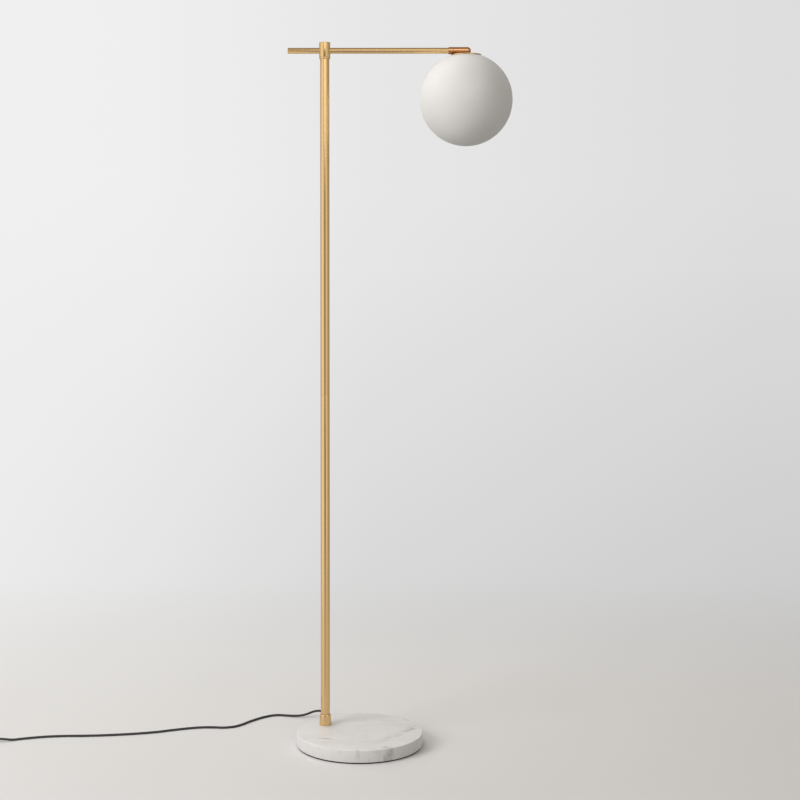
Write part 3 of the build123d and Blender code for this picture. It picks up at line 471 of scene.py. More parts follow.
def extrude(move, scale, centre):
    """Extrudes what is selected, then moves the new face and resizes it about a centre."""
    bpy.ops.mesh.extrude_region_move(TRANSFORM_OT_translate={"value": move})
    bpy.ops.transform.resize(value=scale, center_override=centre)


def settle(piece, name, edge=0.0, steps=3, angle=35.0):
    """Names a piece, rounds its sharp edges, smooths it and puts its place in its mesh."""
    only(piece)
    piece.name = piece.data.name = name
    bpy.ops.object.transform_apply(location=True, rotation=True, scale=True)
    edit_all()
    bpy.ops.mesh.remove_doubles(threshold=0.000002)
    bpy.ops.mesh.normals_make_consistent(inside=False)
    bpy.ops.object.mode_set(mode="OBJECT")
    if edge:
        rounding = piece.modifiers.new("edge", "BEVEL")
        rounding.width = edge
        rounding.segments = steps
        rounding.limit_method = "ANGLE"
        rounding.angle_limit = radians(angle)
        bpy.ops.object.modifier_apply(modifier=rounding.name)
    bpy.ops.object.shade_smooth_by_angle(angle=radians(angle))
    return piece


def turned(name, outline, foot, axis, sides, edge=0.0, steps=3, angle=35.0):
    """A turned piece. A circle is extruded along an axis and resized, from step to step.

    The outline's steps are (radius, distance from the foot point along the axis). The ends are
    flat faces, unless the last step meets the first, as round a bore.
    """
    deselect()
    radius, reach = outline[0]
    direction, solid = DIRECTIONS[axis], outline[-1] != outline[0]
    bpy.ops.mesh.primitive_circle_add(
        vertices=sides, radius=radius, fill_type="NGON" if solid else "NOTHING",
        location=foot + direction * reach, rotation=FACING[axis],
    )
    piece = bpy.context.object
    edit_all()
    for next_radius, next_reach in outline[1:]:
        centre = foot + direction * next_reach
        extrude(direction * (next_reach - reach), (next_radius / radius,) * 3, centre)
        radius, reach = next_radius, next_reach
    bpy.ops.object.mode_set(mode="OBJECT")
    return settle(piece, name, edge, steps, angle)


def pipe(bore, radius, start, end):
    """The outline of a pipe."""
    return [(bore, start), (radius, start), (radius, end), (bore, end), (bore, start)]


def quarter(radius, rise, start, steps):
    """Outline steps of a quarter ellipse that draws in from a start."""
    x, z = start
    turns = [k * pi / 2 / steps for k in range(1, steps + 1)]
    return [(x - radius * (1 - cos(a)), z + rise * sin(a)) for a in turns]


def cut(piece, cutter, operation="DIFFERENCE"):
    """Takes the shape of a cutter out of a piece, or adds it, and deletes the cutter."""
    only(piece)
    saw = piece.modifiers.new("cut", "BOOLEAN")
    saw.operation, saw.solver, saw.object = operation, "EXACT", cutter
    bpy.ops.object.modifier_apply(modifier=saw.name)
    bpy.data.objects.remove(cutter, do_unlink=True)


def rounded_face(place, axis, size, corner, steps):
    """A flat face with round corners across an axis, left in edit mode with all of it selected."""
    deselect()
    bpy.ops.mesh.primitive_plane_add(size=1.0, location=place, rotation=FACING[axis])
    piece = bpy.context.object
    edit_all()
    bpy.ops.transform.resize(value=size, center_override=place)
    bpy.ops.mesh.bevel(offset=corner, offset_type="OFFSET", segments=steps, affect="VERTICES")
    bpy.ops.mesh.select_all(action="SELECT")
    return piece


# The materials by name, which the first operator makes
FINISHES = {}


def dress(piece, slot, body, node, finish=None):
    """Gives a piece the finish of its record slot, or another finish, and its body, and hides the node it
    replaces.
    """
    piece.data.materials.clear()
    piece.data.materials.append(FINISHES[finish or slot])
    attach(piece, body)
    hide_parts(node)


# Operators, one for each piece or group of like pieces

class LAMP_OT_finishes(bpy.types.Operator):
    """Makes the finishes and gives every CAD node the one of its record slot"""

    bl_idname = "lamp.finishes"
    bl_label = "Finishes"

    def execute(self, context):
        FINISHES.update(make_finishes(context.scene.lamp_colours))
        for entry in frame["record"]["subparts"]:
            node = frame["nodes"][entry["node"]]
            node.data.materials.clear()
            node.data.materials.append(FINISHES[entry["material_slot"]])
        return {"FINISHED"}


class LAMP_OT_marble_foot(bpy.types.Operator):
    """Models the marble foot with rounded rims, its recess and the lead's drilling"""

    bl_idname = "lamp.marble_foot"
    bl_label = "Marble foot"

    def execute(self, context):
        sizes = context.scene.lamp_sizes
        bottom, top = span("marble_base")
        radius = width("marble_base") / 2
        recess_radius, recess_depth, drilling_radius, past = 0.024, 0.017, 0.0045, 0.002
        outline = [(radius, bottom), (radius, top)]
        edge = sizes.marble_edge
        foot = turned("marble_foot", outline, Vector(), "Z", 2 * sizes.sides, edge=edge, steps=5)
        outline = [(recess_radius, bottom - past), (recess_radius, bottom + recess_depth)]
        cut(foot, turned("recess_cutter", outline, pole_foot, "Z", sizes.sides))
        relief = middle("cord_relief")
        drilling = turned(
            "drilling_cutter", [(drilling_radius, 0.01), (drilling_radius, radius)],
            Vector((relief.x, pole_foot.y, relief.z)), "Y", sizes.sides // 2,
        )
        cut(foot, drilling)
        settle(foot, "marble_foot")
        dress(foot, "marble", "lamp_foot", "marble_base")

        pad_radius, pad_top = width("base_pad") / 2, high("base_pad").z
        pad = turned(
            "floor_pad", [(pad_radius, 0.0), (pad_radius, pad_top)], Vector(), "Z", 2 * sizes.sides,
            edge=0.0005, steps=2,
        )
        dress(pad, "floor_pad", "lamp_foot", "base_pad")
        return {"FINISHED"}


class LAMP_OT_pole(bpy.types.Operator):
    """Models the two pole sections and the collar at the foot"""

    bl_idname = "lamp.pole"
    bl_label = "Pole"

    def execute(self, context):
        sizes = context.scene.lamp_sizes
        radius, wall, edge = width("lower_pole") / 2, 0.0012, 0.0003
        for name, node in (("pole_lower_tube", "lower_pole"), ("pole_upper_tube", "upper_pole")):
            outline = pipe(radius - wall, radius, *span(node))
            tube = turned(name, outline, pole_foot, "Z", sizes.sides, edge=edge)
            dress(tube, "satin_brass", "lamp_foot", node)

        bottom, top = span("foot_collar")
        base_radius, bore = width("foot_collar") / 2, radius + 0.00005
        waist_radius, band, dome, lip = base_radius - 0.00095, 0.0015, 0.007, 0.0005
        outline = [
            (bore, bottom), (base_radius, bottom), (base_radius, bottom + band),
            (waist_radius, top - dome),
            *quarter(waist_radius - bore - lip, dome, (waist_radius, top - dome), steps=10),
            (bore, top), (bore, bottom),
        ]
        collar = turned("pole_collar", outline, pole_foot, "Z", sizes.sides, edge=edge)
        dress(collar, "satin_brass", "lamp_foot", "foot_collar")
        return {"FINISHED"}


class LAMP_OT_swivel(bpy.types.Operator):
    """Models the swivel's ring and bush, and the hub with the hole for its grub screw"""

    bl_idname = "lamp.swivel"
    bl_label = "Swivel"

    def execute(self, context):
        sizes = context.scene.lamp_sizes
        edge = sizes.brass_edge
        bottom, top = span("swivel_bush")
        bottom += 0.0019
        ring_radius, bore, bush_radius, slope = width("swivel_bush") / 2, 0.00505, 0.00875, 0.0009
        pole_top = high("upper_pole").z
        outline = [
            (bore, bottom), (bush_radius, bottom), (bush_radius, pole_top),
            (ring_radius - slope, pole_top), (ring_radius, pole_top + slope),
            (ring_radius, top), (bore, top), (bore, bottom),
        ]
        bush = turned("swivel_ring", outline, pole_foot, "Z", sizes.sides, edge=edge / 2)
        dress(bush, "satin_brass", "lamp_foot", "swivel_bush")

        bottom, top = span("hub")
        radius, stem_bore, screw_hole = width("hub") / 2, 0.0050, 0.0021
        hub = turned("arm_hub", [(radius, bottom), (radius, top)], pole_foot, "Z", sizes.sides, edge=0.0008)
        arm_radius = width("arm_tube", 1) / 2
        reach = radius + 0.004
        centre = Vector((pole_foot.x, pole_foot.y, arm_line.z))
        for hole, foot, axis, start, end in (
            (arm_radius + 0.00003, centre, "X", -reach, reach),
            (stem_bore, pole_foot, "Z", bottom - 0.002, arm_line.z),
            (screw_hole, centre, "Y", 0.0, reach),
        ):
            cut(hub, turned("hub_cutter", [(hole, start), (hole, end)], foot, axis, sizes.sides))
        settle(hub, "arm_hub")
        dress(hub, "satin_brass", "lamp_head", "hub")
        return {"FINISHED"}


class LAMP_OT_arm(bpy.types.Operator):
    """Models the arm tube, its end cap, the end ring and the domed end fitting"""

    bl_idname = "lamp.arm"
    bl_label = "Arm"

    def execute(self, context):
        sizes = context.scene.lamp_sizes
        start = Vector((0, pole_foot.y, arm_line.z))
        left, right = span("arm_tube", 0)
        radius, edge, slope = width("arm_tube", 1) / 2, 0.0002, 0.0005
        bore = radius - 0.001
        outline = pipe(bore, radius, left, right)
        tube = turned("arm_brass_tube", outline, start, "X", sizes.sides, edge=edge)
        dress(tube, "satin_brass", "lamp_head", "arm_tube", finish="arm_brass")

        tip, spigot_end = span("arm_cap", 0)
        cap_slope, spigot = 0.0007, bore - 0.00005
        outline = [
            (radius - cap_slope, tip), (radius, tip + cap_slope), (radius, left),
            (spigot, left), (spigot, spigot_end),
        ]
        cap = turned("arm_end_cap", outline, start, "X", sizes.sides, edge=sizes.brass_edge / 2)
        dress(cap, "satin_brass", "lamp_head", "arm_cap", finish="arm_brass")

        left, right = span("end_ring", 0)
        ring_radius, bore = width("end_ring", 1) / 2, radius + 0.00003
        outline = [
            (bore, left), (ring_radius - slope, left), (ring_radius, left + slope),
            (ring_radius, right - slope), (ring_radius - slope, right), (bore, right), (bore, left),
        ]
        ring = turned("copper_ring", outline, start, "X", sizes.sides, edge=edge)
        dress(ring, "copper_brass", "lamp_head", "end_ring")

        spigot_start, tip = span("end_fitting", 0)
        spigot, well_radius = radius - 0.00105, 0.0050
        dome_start = tip - ring_radius
        dome = quarter(ring_radius, ring_radius, (ring_radius, dome_start), steps=16)[:-1]
        outline = [
            (spigot, spigot_start), (spigot, right), (ring_radius - slope, right),
            (ring_radius, right + slope), (ring_radius, dome_start), *dome, (0.00002, tip),
        ]
        fitting = turned("copper_fitting", outline, start, "X", sizes.sides, edge=edge)
        well = turned(
            "well_cutter", [(well_radius, arm_line.z - 0.012), (well_radius, high("fitter_nipple").z)],
            Vector((globe_middle.x, pole_foot.y, 0)), "Z", sizes.sides // 2,
        )
        cut(fitting, well)
        settle(fitting, "copper_fitting")
        dress(fitting, "copper_brass", "lamp_head", "end_fitting")
        return {"FINISHED"}


class LAMP_OT_globe(bpy.types.Operator):
    """Models the opal glass globe and its brass cap"""

    bl_idname = "lamp.globe"
    bl_label = "Globe and cap"

    def execute(self, context):
        sizes = context.scene.lamp_sizes
        radius = width("glass_globe") / 2
        deselect()
        bpy.ops.mesh.primitive_uv_sphere_add(
            segments=sizes.sides, ring_count=sizes.sides, radius=radius, location=globe_middle
        )
        glass = bpy.context.object
        edit_all()
        bpy.ops.mesh.bisect(
            plane_co=(0, 0, high("glass_globe").z), plane_no=(0, 0, 1), clear_outer=True
        )
        bpy.ops.object.mode_set(mode="OBJECT")
        wall = glass.modifiers.new("wall", "SOLIDIFY")
        wall.thickness, wall.offset = sizes.glass_wall, -1
        only(glass)
        bpy.ops.object.modifier_apply(modifier=wall.name)
        settle(glass, "opal_globe", edge=0.0006)
        dress(glass, "opal_glass", "lamp_head", "glass_globe")

        bottom, top = span("globe_cap")
        cap_radius, bore, sheet, rounding = width("globe_cap") / 2, 0.0051, 0.0012, 0.0008
        axis = Vector((globe_middle.x, globe_middle.y, 0))
        outline = [
            (bore, top - sheet), (cap_radius - sheet, top - sheet), (cap_radius - sheet, bottom),
            (cap_radius, bottom), (cap_radius, top - rounding),
            *quarter(rounding, rounding, (cap_radius, top - rounding), steps=5),
            (bore, top), (bore, top - sheet),
        ]
        cap = turned("globe_top_cap", outline, axis, "Z", sizes.sides, edge=0.0001, steps=2)
        dress(cap, "satin_brass", "lamp_head", "globe_cap")
        return {"FINISHED"}


class LAMP_OT_leads(bpy.types.Operator):
    """Lays the mains lead: inside the lamp, to the foot switch, and on to the plug with its coil"""

    bl_idname = "lamp.leads"
    bl_label = "Mains lead"

    def execute(self, context):
        sizes = context.scene.lamp_sizes
        relief, plug = middle("cord_relief"), middle("plug_body")
        switch_near, switch_far = high("switch_relief_lamp").x, low("switch_relief_plug").x
        switch_y, switch_z = middle("switch_base").y, 0.007
        exit_point = (relief.x, high("cord_relief").y, relief.z)
        rest = sizes.lead_diameter / 2

        floor_route = [
            exit_point,
            (relief.x, 0.162, relief.z),
            (-0.0795, 0.194, 0.015),
            (-0.1025, 0.211, 0.013),
            (-0.1305, 0.195, 0.005),
            (-0.1625, 0.203, rest),
            (-0.1985, 0.213, rest),
            (-0.2425, 0.172, rest),
            (-0.2835, 0.107, rest),
            (-0.3505, 0.118, rest),
            (-0.4145, 0.0945, rest),
            (-0.4545, 0.076, rest),
            (-0.5155, 0.061, rest),
            (-0.5865, 0.0505, rest),
            (-0.6505, 0.049, rest),
            (-0.6945, 0.043, rest),
            (-0.738, 0.0285, rest),
            (-0.758, 0.0195, rest),
            (-0.776, switch_y, switch_z),
            (switch_near, switch_y, switch_z),
        ]
        run = self.lead(context, "lead_to_switch", floor_route, "lamp_foot")
        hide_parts("cord_run")

        coil = self.coil_turns(rest)
        coil_y = coil[-1][1]
        plug_end = low("plug_body").x
        plug_route = [
            (switch_far, switch_y, switch_z),
            (switch_far - 0.014, switch_y, switch_z),
            (switch_far - 0.030, switch_y, rest),
            *coil,
            (-0.930, coil_y, coil[-1][2]),
            (plug_end - 0.014, coil_y, plug.z),
            (plug_end, coil_y, plug.z),
        ]
        tail = self.lead(context, "lead_to_plug", plug_route, "lamp_foot")
        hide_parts("cord_tail", "cord_coil", "plug_cord")

        inlet = low("cord_relief").y
        pole_route = [
            (relief.x, inlet, relief.z), (relief.x, pole_foot.y + 0.024, relief.z),
            (relief.x, pole_foot.y + 0.012, 0.0056), (pole_foot.x, pole_foot.y, 0.0056),
            (pole_foot.x, pole_foot.y, 0.030), (pole_foot.x, pole_foot.y, high("pole_lead").z),
        ]
        inner = self.lead(context, "lead_in_pole", pole_route, "lamp_foot")
        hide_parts("pole_lead")
        start, corner = low("arm_lead").z, globe_middle.x
        arm_route = [
            (pole_foot.x, pole_foot.y, start), (pole_foot.x, pole_foot.y, arm_line.z - 0.010),
            (pole_foot.x + 0.0015, pole_foot.y, arm_line.z - 0.0015),
            (pole_foot.x + 0.010, pole_foot.y, arm_line.z), (corner - 0.010, pole_foot.y, arm_line.z),
            (corner - 0.0015, pole_foot.y, arm_line.z - 0.0015), (corner, pole_foot.y, arm_line.z - 0.010),
            (corner, pole_foot.y, low("fitter_nipple").z - 0.004),
        ]
        inner = self.lead(context, "lead_in_arm", arm_route, "lamp_head")
        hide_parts("arm_lead")
        return {"FINISHED"}

    def coil_turns(self, rest):
        """Control points of the coil: its turns at eighths, in four layers that spiral in and out."""
        radius, pitch = 0.0336, 0.0056
        middle_x, middle_y = -0.949, middle("switch_base").y - radius
        quarters = (8, 7, 7, 8)
        reversals = [sum(quarters[:k]) for k in (1, 2, 3)]
        points = []
        for eighth in range(2 * sum(quarters)):
            turned_quarters = (eighth + 0.5) / 2
            inwards, last, reach = -1, 0, radius
            for reversal in reversals + [sum(quarters)]:
                reach += inwards * pitch / 4 * (min(turned_quarters, reversal) - last)
                if turned_quarters <= reversal:
                    break
                inwards, last = -inwards, reversal
            climb = 0.0
            for reversal in reversals:
                share = min(max((turned_quarters - reversal + 1) / 2, 0.0), 1.0)
                climb += share * share * (3 - 2 * share)
            angle = pi / 2 + turned_quarters * pi / 2
            corner = reach / cos(pi / 8)
            points.append(
                (middle_x + corner * cos(angle), middle_y + corner * sin(angle), rest + climb * pitch)
            )
        return points

    def lead(self, context, name, points, body):
        """A smooth round lead along control points."""
        curve = bpy.data.curves.new(name, "CURVE")
        curve.dimensions = "3D"
        curve.bevel_depth = context.scene.lamp_sizes.lead_diameter / 2
        curve.bevel_resolution = 5
        curve.use_fill_caps = True
        spline = curve.splines.new("NURBS")
        spline.points.add(len(points) - 1)
        for knot, point in zip(spline.points, points):
            knot.co = (*point, 1.0)
        spline.order_u = 3
        spline.use_endpoint_u = True
        spline.resolution_u = 8
        piece = bpy.data.objects.new(name, curve)
        context.scene.collection.objects.link(piece)
        curve.materials.append(FINISHES["lead_sheath"])
        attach(piece, body)
        return piece


class LAMP_OT_reliefs(bpy.types.Operator):
    """Models the ribbed strain reliefs at the foot and at both ends of the switch"""

    bl_idname = "lamp.reliefs"
    bl_label = "Strain reliefs"

    def execute(self, context):
        self.ribbed(context, "foot_sleeve", "cord_relief", "Y", 0.012, 1)
        self.ribbed(context, "switch_sleeve_lamp", "switch_relief_lamp", "X", 0.003, 1)
        self.ribbed(context, "switch_sleeve_plug", "switch_relief_plug", "X", 0.003, -1)
        return {"FINISHED"}

    def ribbed(self, context, name, node, axis, plain, forwards):
        """A tapered sleeve: a plain root, five ribs with grooves between them, and a tip."""
        sizes = context.scene.lamp_sizes
        across = "XYZ".index(axis)
        length, foot = width(node, across), middle(node)
        foot[across] = span(node, across)[0 if forwards > 0 else 1]
        root, tip, tip_length, ribs, groove, slope = 0.0044, 0.0032, 0.002, 5, 0.0006, 0.0002
        pitch = (length - plain - tip_length) / ribs
        outline = [(root, 0.0), (root, plain)]
        for rib in range(ribs):
            start = plain + rib * pitch
            radius = root - 0.0003 - (root - tip) * rib / ribs
            outline += [
                (radius - groove, start + 0.0001), (radius - groove, start + 0.3 * pitch),
                (radius, start + 0.4 * pitch), (radius - slope, start + 0.98 * pitch),
            ]
        outline += [(tip, length - tip_length), (tip - slope, length)]
        outline = [(radius, forwards * reach) for radius, reach in outline]
        sleeve = turned(name, outline, foot, axis, sizes.sides // 2, edge=0.00012, steps=2, angle=28)
        dress(sleeve, "lead_sheath", "lamp_foot", node)


class LAMP_OT_foot_switch(bpy.types.Operator):
    """Models the foot switch's lid and its dished button"""

    bl_idname = "lamp.foot_switch"
    bl_label = "Foot switch"

    def execute(self, context):
        sizes = context.scene.lamp_sizes
        spot = middle("switch_cover")
        length, depth = width("switch_cover"), width("switch_cover", 1)
        bottom, top = span("switch_cover")
        rounding, steps, play = 0.0042, 7, 0.0003
        foot, shoulder = bottom + 0.0003, top - rounding
        lid = rounded_face(
            Vector((spot.x, spot.y, foot)), "Z", (length, depth, 1), depth / 2 - 0.0001, sizes.sides // 4
        )
        bpy.ops.mesh.extrude_region_move(TRANSFORM_OT_translate={"value": (0, 0, shoulder - foot)})
        rise_before, drawn_before = 0.0, 0.0
        for step in range(1, steps + 1):
            angle = step * pi / 2 / steps
            rise, drawn_in = rounding * sin(angle), rounding * (1 - cos(angle))
            long_share = (length - 2 * drawn_in) / (length - 2 * drawn_before)
            deep_share = (depth - 2 * drawn_in) / (depth - 2 * drawn_before)
            extrude((0, 0, rise - rise_before), (long_share, deep_share, 1), (spot.x, spot.y, top))
            rise_before, drawn_before = rise, drawn_in
        settle(lid, "switch_lid", edge=0.0003, steps=2)
        button_radius = width("switch_button") / 2 - 0.0018
        axis = Vector((spot.x, spot.y, 0))
        outline = [(button_radius + play, bottom - 0.002), (button_radius + play, top + 0.002)]
        cut(lid, turned("well_cutter", outline, axis, "Z", sizes.sides))
        settle(lid, "switch_lid")
        dress(lid, "dark_plastic", "lamp_foot", "switch_cover")

        bottom, top = span("switch_button")
        flange, flange_top = width("switch_button") / 2, bottom + 0.0014
        rounding, ring_pitch = 0.0016, 0.0022
        outline = [
            (flange, bottom), (flange, flange_top), (button_radius, flange_top),
            (button_radius, top - rounding),
            *quarter(rounding, rounding, (button_radius, top - rounding), steps=6),
        ]
        for groove in range(3):
            outer = button_radius - 0.0024 - ring_pitch * groove
            outline += [(outer, top - 0.00005), (outer - 0.0003, top - 0.0004),
                        (outer - 0.0008, top - 0.0004), (outer - 0.0011, top - 0.00005)]
        outline += [(button_radius * 0.30, top - 0.0002), (button_radius * 0.1, top - 0.0004)]
        knob = turned("switch_knob", outline, axis, "Z", sizes.sides)
        dress(knob, "dark_button", "foot_button", "switch_button")
        return {"FINISHED"}


class LAMP_OT_plug(bpy.types.Operator):
    """Models the mains plug's moulded grip"""

    bl_idname = "lamp.plug"
    bl_label = "Plug"

    def execute(self, context):
        sizes = context.scene.lamp_sizes
        spot = middle("plug_body")
        face, back = high("plug_body").x, low("plug_body").x
        wide, tall = width("plug_body", 1), width("plug_body", 2)
        head, end, neck = 0.008, 0.032, back + 0.018
        end_wide, end_tall = 0.0130, 0.0120
        grooves, groove_depth = 5, 0.0008
        stations = [(head, wide, tall)]
        for groove in range(grooves):
            start = head + (groove + 0.5) * (end - head) / grooves
            for distance, depth in (
                (start, 0.0), (start + 0.0004, groove_depth), (start + 0.0014, groove_depth),
                (start + 0.0018, 0.0),
            ):
                share = (distance - head) / (end - head)
                stations.append((
                    distance, wide + share * (end_wide - wide) - 2 * depth,
                    tall + share * (end_tall - tall) - 2 * depth,
                ))
        stations.append((end, end_wide, end_tall))
        grip = rounded_face(Vector((face, spot.y, spot.z)), "X", (1, wide, tall), 0.005, 12)
        width_now, height_now, place = wide, tall, face
        for distance, next_wide, next_tall in stations:
            x = face - distance
            scale = (1, next_wide / width_now, next_tall / height_now)
            extrude((x - place, 0, 0), scale, (x, spot.y, spot.z))
            width_now, height_now, place = next_wide, next_tall, x
        settle(grip, "plug_grip", edge=0.0003, steps=2, angle=30)
        neck_radius, lead_end = 0.0046, 0.0032
        sleeve = turned(
            "plug_neck", [
                (neck_radius, neck + 0.002), (neck_radius, neck),
                (lead_end, back + 0.0004), (lead_end - 0.0003, back),
            ], Vector((0, spot.y, spot.z)), "X", sizes.sides // 2,
        )
        cut(grip, sleeve, "UNION")
        settle(grip, "plug_grip", angle=30)
        dress(grip, "dark_plastic", "lamp_foot", "plug_body")
        return {"FINISHED"}


class LAMP_OT_stage(bpy.types.Operator):
    """Sets up the pale floor, the soft lights and the photograph's camera"""

    bl_idname = "lamp.stage"
    bl_label = "Floor, lights and camera"

    def execute(self, context):
        self.floor(context)
        self.sky(context)
        aim = Vector((0.0, 0.05, 0.95))
        # The card only shows in metal and glass, and the lights only fall on what is matt.
        for name, place, wide, tall, power, tint in (
            ("key_light", Vector((-3.2, -2.1, 2.3)), 2.0, 2.2, 110.0, (1.0, 0.99, 0.98)),
            ("fill_light", Vector((1.3, -3.8, 1.9)), 2.0, 2.0, 22.0, (1.0, 0.96, 0.92)),
            ("top_light", Vector((-1.1, 0.8, 3.7)), 2.4, 2.4, 31.0, (1.0, 1.0, 1.0)),
            ("back_light", Vector((-1.8, 2.6, 2.4)), 1.0, 1.6, 12.0, (1.0, 1.0, 1.0)),
            ("front_card", Vector((0.3, -4.8, 3.45)), 3.2, 2.8, 36.0, (1.0, 0.95, 0.90)),
        ):
            glow = bpy.data.lights.new(name, "AREA")
            glow.shape, glow.size, glow.size_y, glow.energy = "RECTANGLE", wide, tall, power
            glow.color = tint
            light = bpy.data.objects.new(name, glow)
            light.location = place
            light.rotation_euler = (aim - place).to_track_quat("-Z", "Y").to_euler()
            light.visible_diffuse = "light" in name
            light.visible_glossy = "card" in name
            context.scene.collection.objects.link(light)
        view = bpy.data.cameras.new("photo_camera")
        view.lens, view.sensor_width = camera_lens, 36.0
        view.shift_x, view.shift_y = camera_shift
        camera = bpy.data.objects.new("photo_camera", view)
        camera.location, camera.rotation_euler = camera_place, camera_turn
        context.scene.collection.objects.link(camera)
        context.scene.camera = camera
        context.scene.view_settings.view_transform = "Standard"
        return {"FINISHED"}

    def floor(self, context):
        """A wide floor that takes the lamp's shadow, and fades into the surround far from it. It glows with
        painted light: far off, the camera sees the surround's tones on it, and reflections see painted
        windows on it, more so far from the lamp.
        """
        deselect()
        bpy.ops.mesh.primitive_circle_add(vertices=96, radius=90.0, fill_type="NGON", location=(0, 0, 0))
        ground = bpy.context.object
        ground.name = "floor"
        finish = Finish("floor_paint", 0.65)
        shade = tuple(context.scene.lamp_colours.floor)
        mottle = finish.noise(finish.mapped(), 3.0)
        paint = finish.ramp(mottle, [(0.3, dim(shade, 0.99)), (0.7, shade)])
        # Painted light and shade: the floor's colour is darker towards the camera and lighter behind the
        # lamp.
        floor_painted_shade = finish.spread(finish.parts(finish.mapped())["Y"], 0.935, 1.04, -0.3, 0.8)
        paint = finish.blend(1.0, paint, floor_painted_shade, "MULTIPLY")
        finish.colour(finish.blend(finish.rays("Is Diffuse Ray"), paint, dim(shade, 0.5)))
        finish.shader.inputs["Specular IOR Level"].default_value = 0.2
        from_camera = finish.mapped(move=(0, -camera_place[1], 0))
        ahead, distance = finish.vector("NORMALIZE", from_camera), finish.vector("LENGTH", from_camera)
        nearness = finish.spread(finish.maths("DIVIDE", 1.0, distance), SKY_NEARNESS, 1.0, 0.0, 1 / NEAREST)
        in_front = finish.spread(finish.parts(ahead)["Y"], 0.0, 1.0, 0.2, 0.9, "SMOOTHSTEP")
        in_view = finish.times(in_front, finish.spread(distance, 0.0, 1.0, 1.4, 3.0, "SMOOTHSTEP"))
        backdrop = surround_colour(finish, ahead, finish.times(nearness, in_view))
        from_pole = finish.mapped(move=-pole_foot)
        mirrored = finish.rays("Is Glossy Ray")
        # Painted light: the floor glows with the surround's tones for the camera and with the windows for
        # reflections.
        glow = finish.add("ShaderNodeEmission")
        finish.join(finish.blend(mirrored, backdrop, mirror_colour(finish, from_pole)), glow.inputs["Color"])
        away = finish.vector("LENGTH", finish.mapped(scale=(0.45, 1.0, 1.0)))
        beyond = finish.spread(away, 0.0, 1.0, 0.28, 1.9, "SMOOTHSTEP")
        seen = finish.times(beyond, finish.rays("Is Camera Ray"))
        out = finish.spread(finish.vector("LENGTH", from_pole), 0.35, 1.0, 0.3, 3.0)
        share = finish.maths("ADD", seen, finish.times(out, mirrored))
        fade = finish.add("ShaderNodeMixShader")
        for source, slot in zip((share, finish.shader.outputs[0], glow.outputs[0]), fade.inputs):
            finish.join(source, slot)
        finish.join(fade.outputs[0], finish.of("OUTPUT_MATERIAL", "Surface"))
        ground.data.materials.append(finish.material)

    def sky(self, context):
        """A pale surround for the camera, banded reflections for metal, and a dimmer even light."""
        world = bpy.data.worlds.new("studio")
        context.scene.world = world
        world.use_nodes = True
        studio = Nodes(world.node_tree)
        direction = studio.add("ShaderNodeTexCoord").outputs["Generated"]
        mirrored = studio.rays("Is Glossy Ray")
        overhead = studio.spread(studio.parts(direction)["Z"], 0.0, 1.0, 0.45, 0.75)
        bands = studio.blend(overhead, mirror_colour(studio, direction), (0.42, 0.405, 0.39))
        nearness = studio.spread(studio.parts(direction)["Z"], SKY_NEARNESS, 0.0, 0.0, 0.04)
        shown = studio.blend(mirrored, surround_colour(studio, direction, nearness), bands)
        straight = studio.maths("MAXIMUM", studio.rays("Is Camera Ray"), studio.rays("Is Transmission Ray"))
        straight = studio.maths("MAXIMUM", straight, mirrored)
        studio.join(studio.blend(straight, (0.375, 0.352, 0.325), shown), studio.of("BACKGROUND", "Color"))


# Tones of the surround from left to right, painted light and shade: (place, tone), for far off and for near
# the lamp.
# The place is 0.5 straight behind the lamp and 0.6 at 12 degrees to its right.
FAR_TONES = ((0.395, 0.871), (0.428, 0.865), (0.5, 0.80), (0.618, 0.725))
NEAR_TONES = ((0.343, 0.86), (0.395, 0.79), (0.5, 0.63), (0.631, 0.54))

# The near tones hold in full this far from the camera, in metres, and by this share at the horizon.
NEAREST = 3.14
SKY_NEARNESS = 0.0756


def surround_colour(nodes, direction, nearness):
    """The pale surround's colour in a direction, with painted light and shade: lighter to the left, darker
    to the right and near.
    """
    place = nodes.spread(nodes.parts(direction)["X"], 0.0, 1.0, -1.0, 1.0)
    return nodes.blend(nearness, nodes.ramp(place, FAR_TONES), nodes.ramp(place, NEAR_TONES))


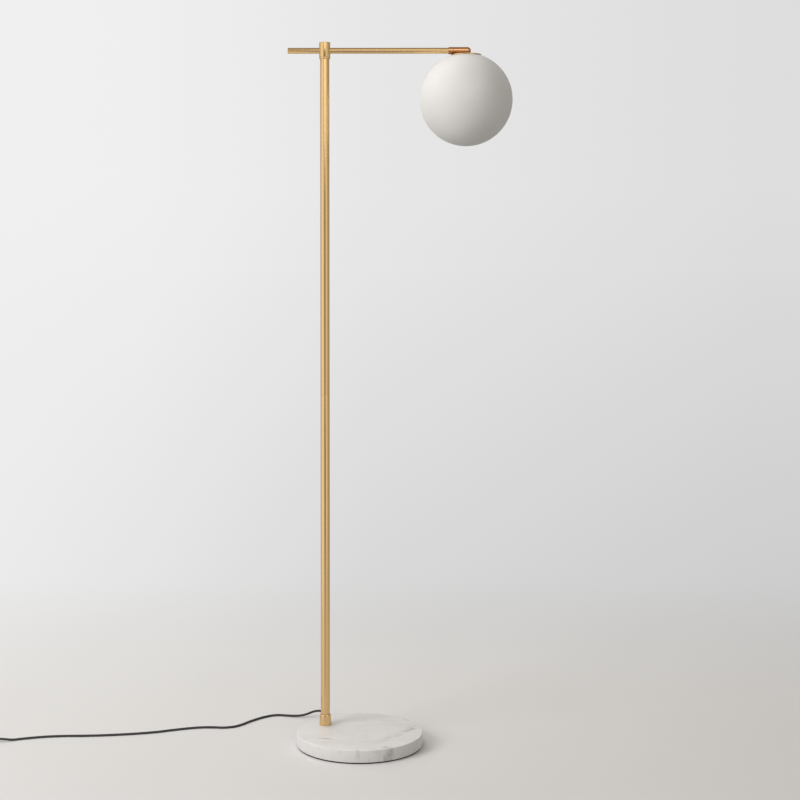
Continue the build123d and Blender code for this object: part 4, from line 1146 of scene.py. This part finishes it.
# What stands round the lamp in the metal's reflections: (degrees from the camera to the right, tone)
MIRROR_TONES = (
    (-180, 0.46), (-122, 0.48), (-88, 0.84), (-52, 1.0), (-30, 0.82), (-16, 0.28), (8, 0.24),
    (18, 0.42), (31, 0.86), (50, 0.78), (66, 0.48), (100, 0.36), (180, 0.42),
)


def mirror_colour(nodes, direction):
    """What metal reflects: a wide window to the left, a narrow one to the right, dark between them."""
    parts = nodes.parts(direction)
    turn = nodes.maths("ARCTAN2", parts["X"], nodes.times(parts["Y"], -1.0))
    place = nodes.spread(turn, 0.0, 1.0, -pi, pi)
    bands = nodes.ramp(place, [(0.5 + degree / 360, tone) for degree, tone in MIRROR_TONES])
    return nodes.blend(1.0, bands, (1.22, 1.17, 1.10), "MULTIPLY")


class LAMP_PT_panel(bpy.types.Panel):
    """Lists the lamp's settings and the operators that build it"""

    bl_idname = "LAMP_PT_panel"
    bl_label = "Floor lamp"
    bl_space_type = "VIEW_3D"
    bl_region_type = "UI"
    bl_category = "Floor lamp"

    def draw(self, context):
        for group in (context.scene.lamp_sizes, context.scene.lamp_colours):
            for name in group.__annotations__:
                self.layout.prop(group, name)
        for operator in OPERATORS:
            self.layout.operator(operator.bl_idname)


OPERATORS = (
    LAMP_OT_finishes,
    LAMP_OT_marble_foot,
    LAMP_OT_pole,
    LAMP_OT_swivel,
    LAMP_OT_arm,
    LAMP_OT_globe,
    LAMP_OT_foot_switch,
    LAMP_OT_reliefs,
    LAMP_OT_plug,
    LAMP_OT_leads,
    LAMP_OT_stage,
)
GROUPS = (LampSizes, LampColours)


def register():
    for part in (*GROUPS, *OPERATORS, LAMP_PT_panel):
        bpy.utils.register_class(part)
    bpy.types.Scene.lamp_sizes = PointerProperty(type=LampSizes)
    bpy.types.Scene.lamp_colours = PointerProperty(type=LampColours)


def unregister():
    del bpy.types.Scene.lamp_colours
    del bpy.types.Scene.lamp_sizes
    for part in reversed((*GROUPS, *OPERATORS, LAMP_PT_panel)):
        bpy.utils.unregister_class(part)


def main():
    """Builds the lamp and its stage."""
    register()
    for operator in OPERATORS:
        group, name = operator.bl_idname.split(".")
        getattr(getattr(bpy.ops, group), name)()
    deselect()


if __name__ == "__main__":
    main()
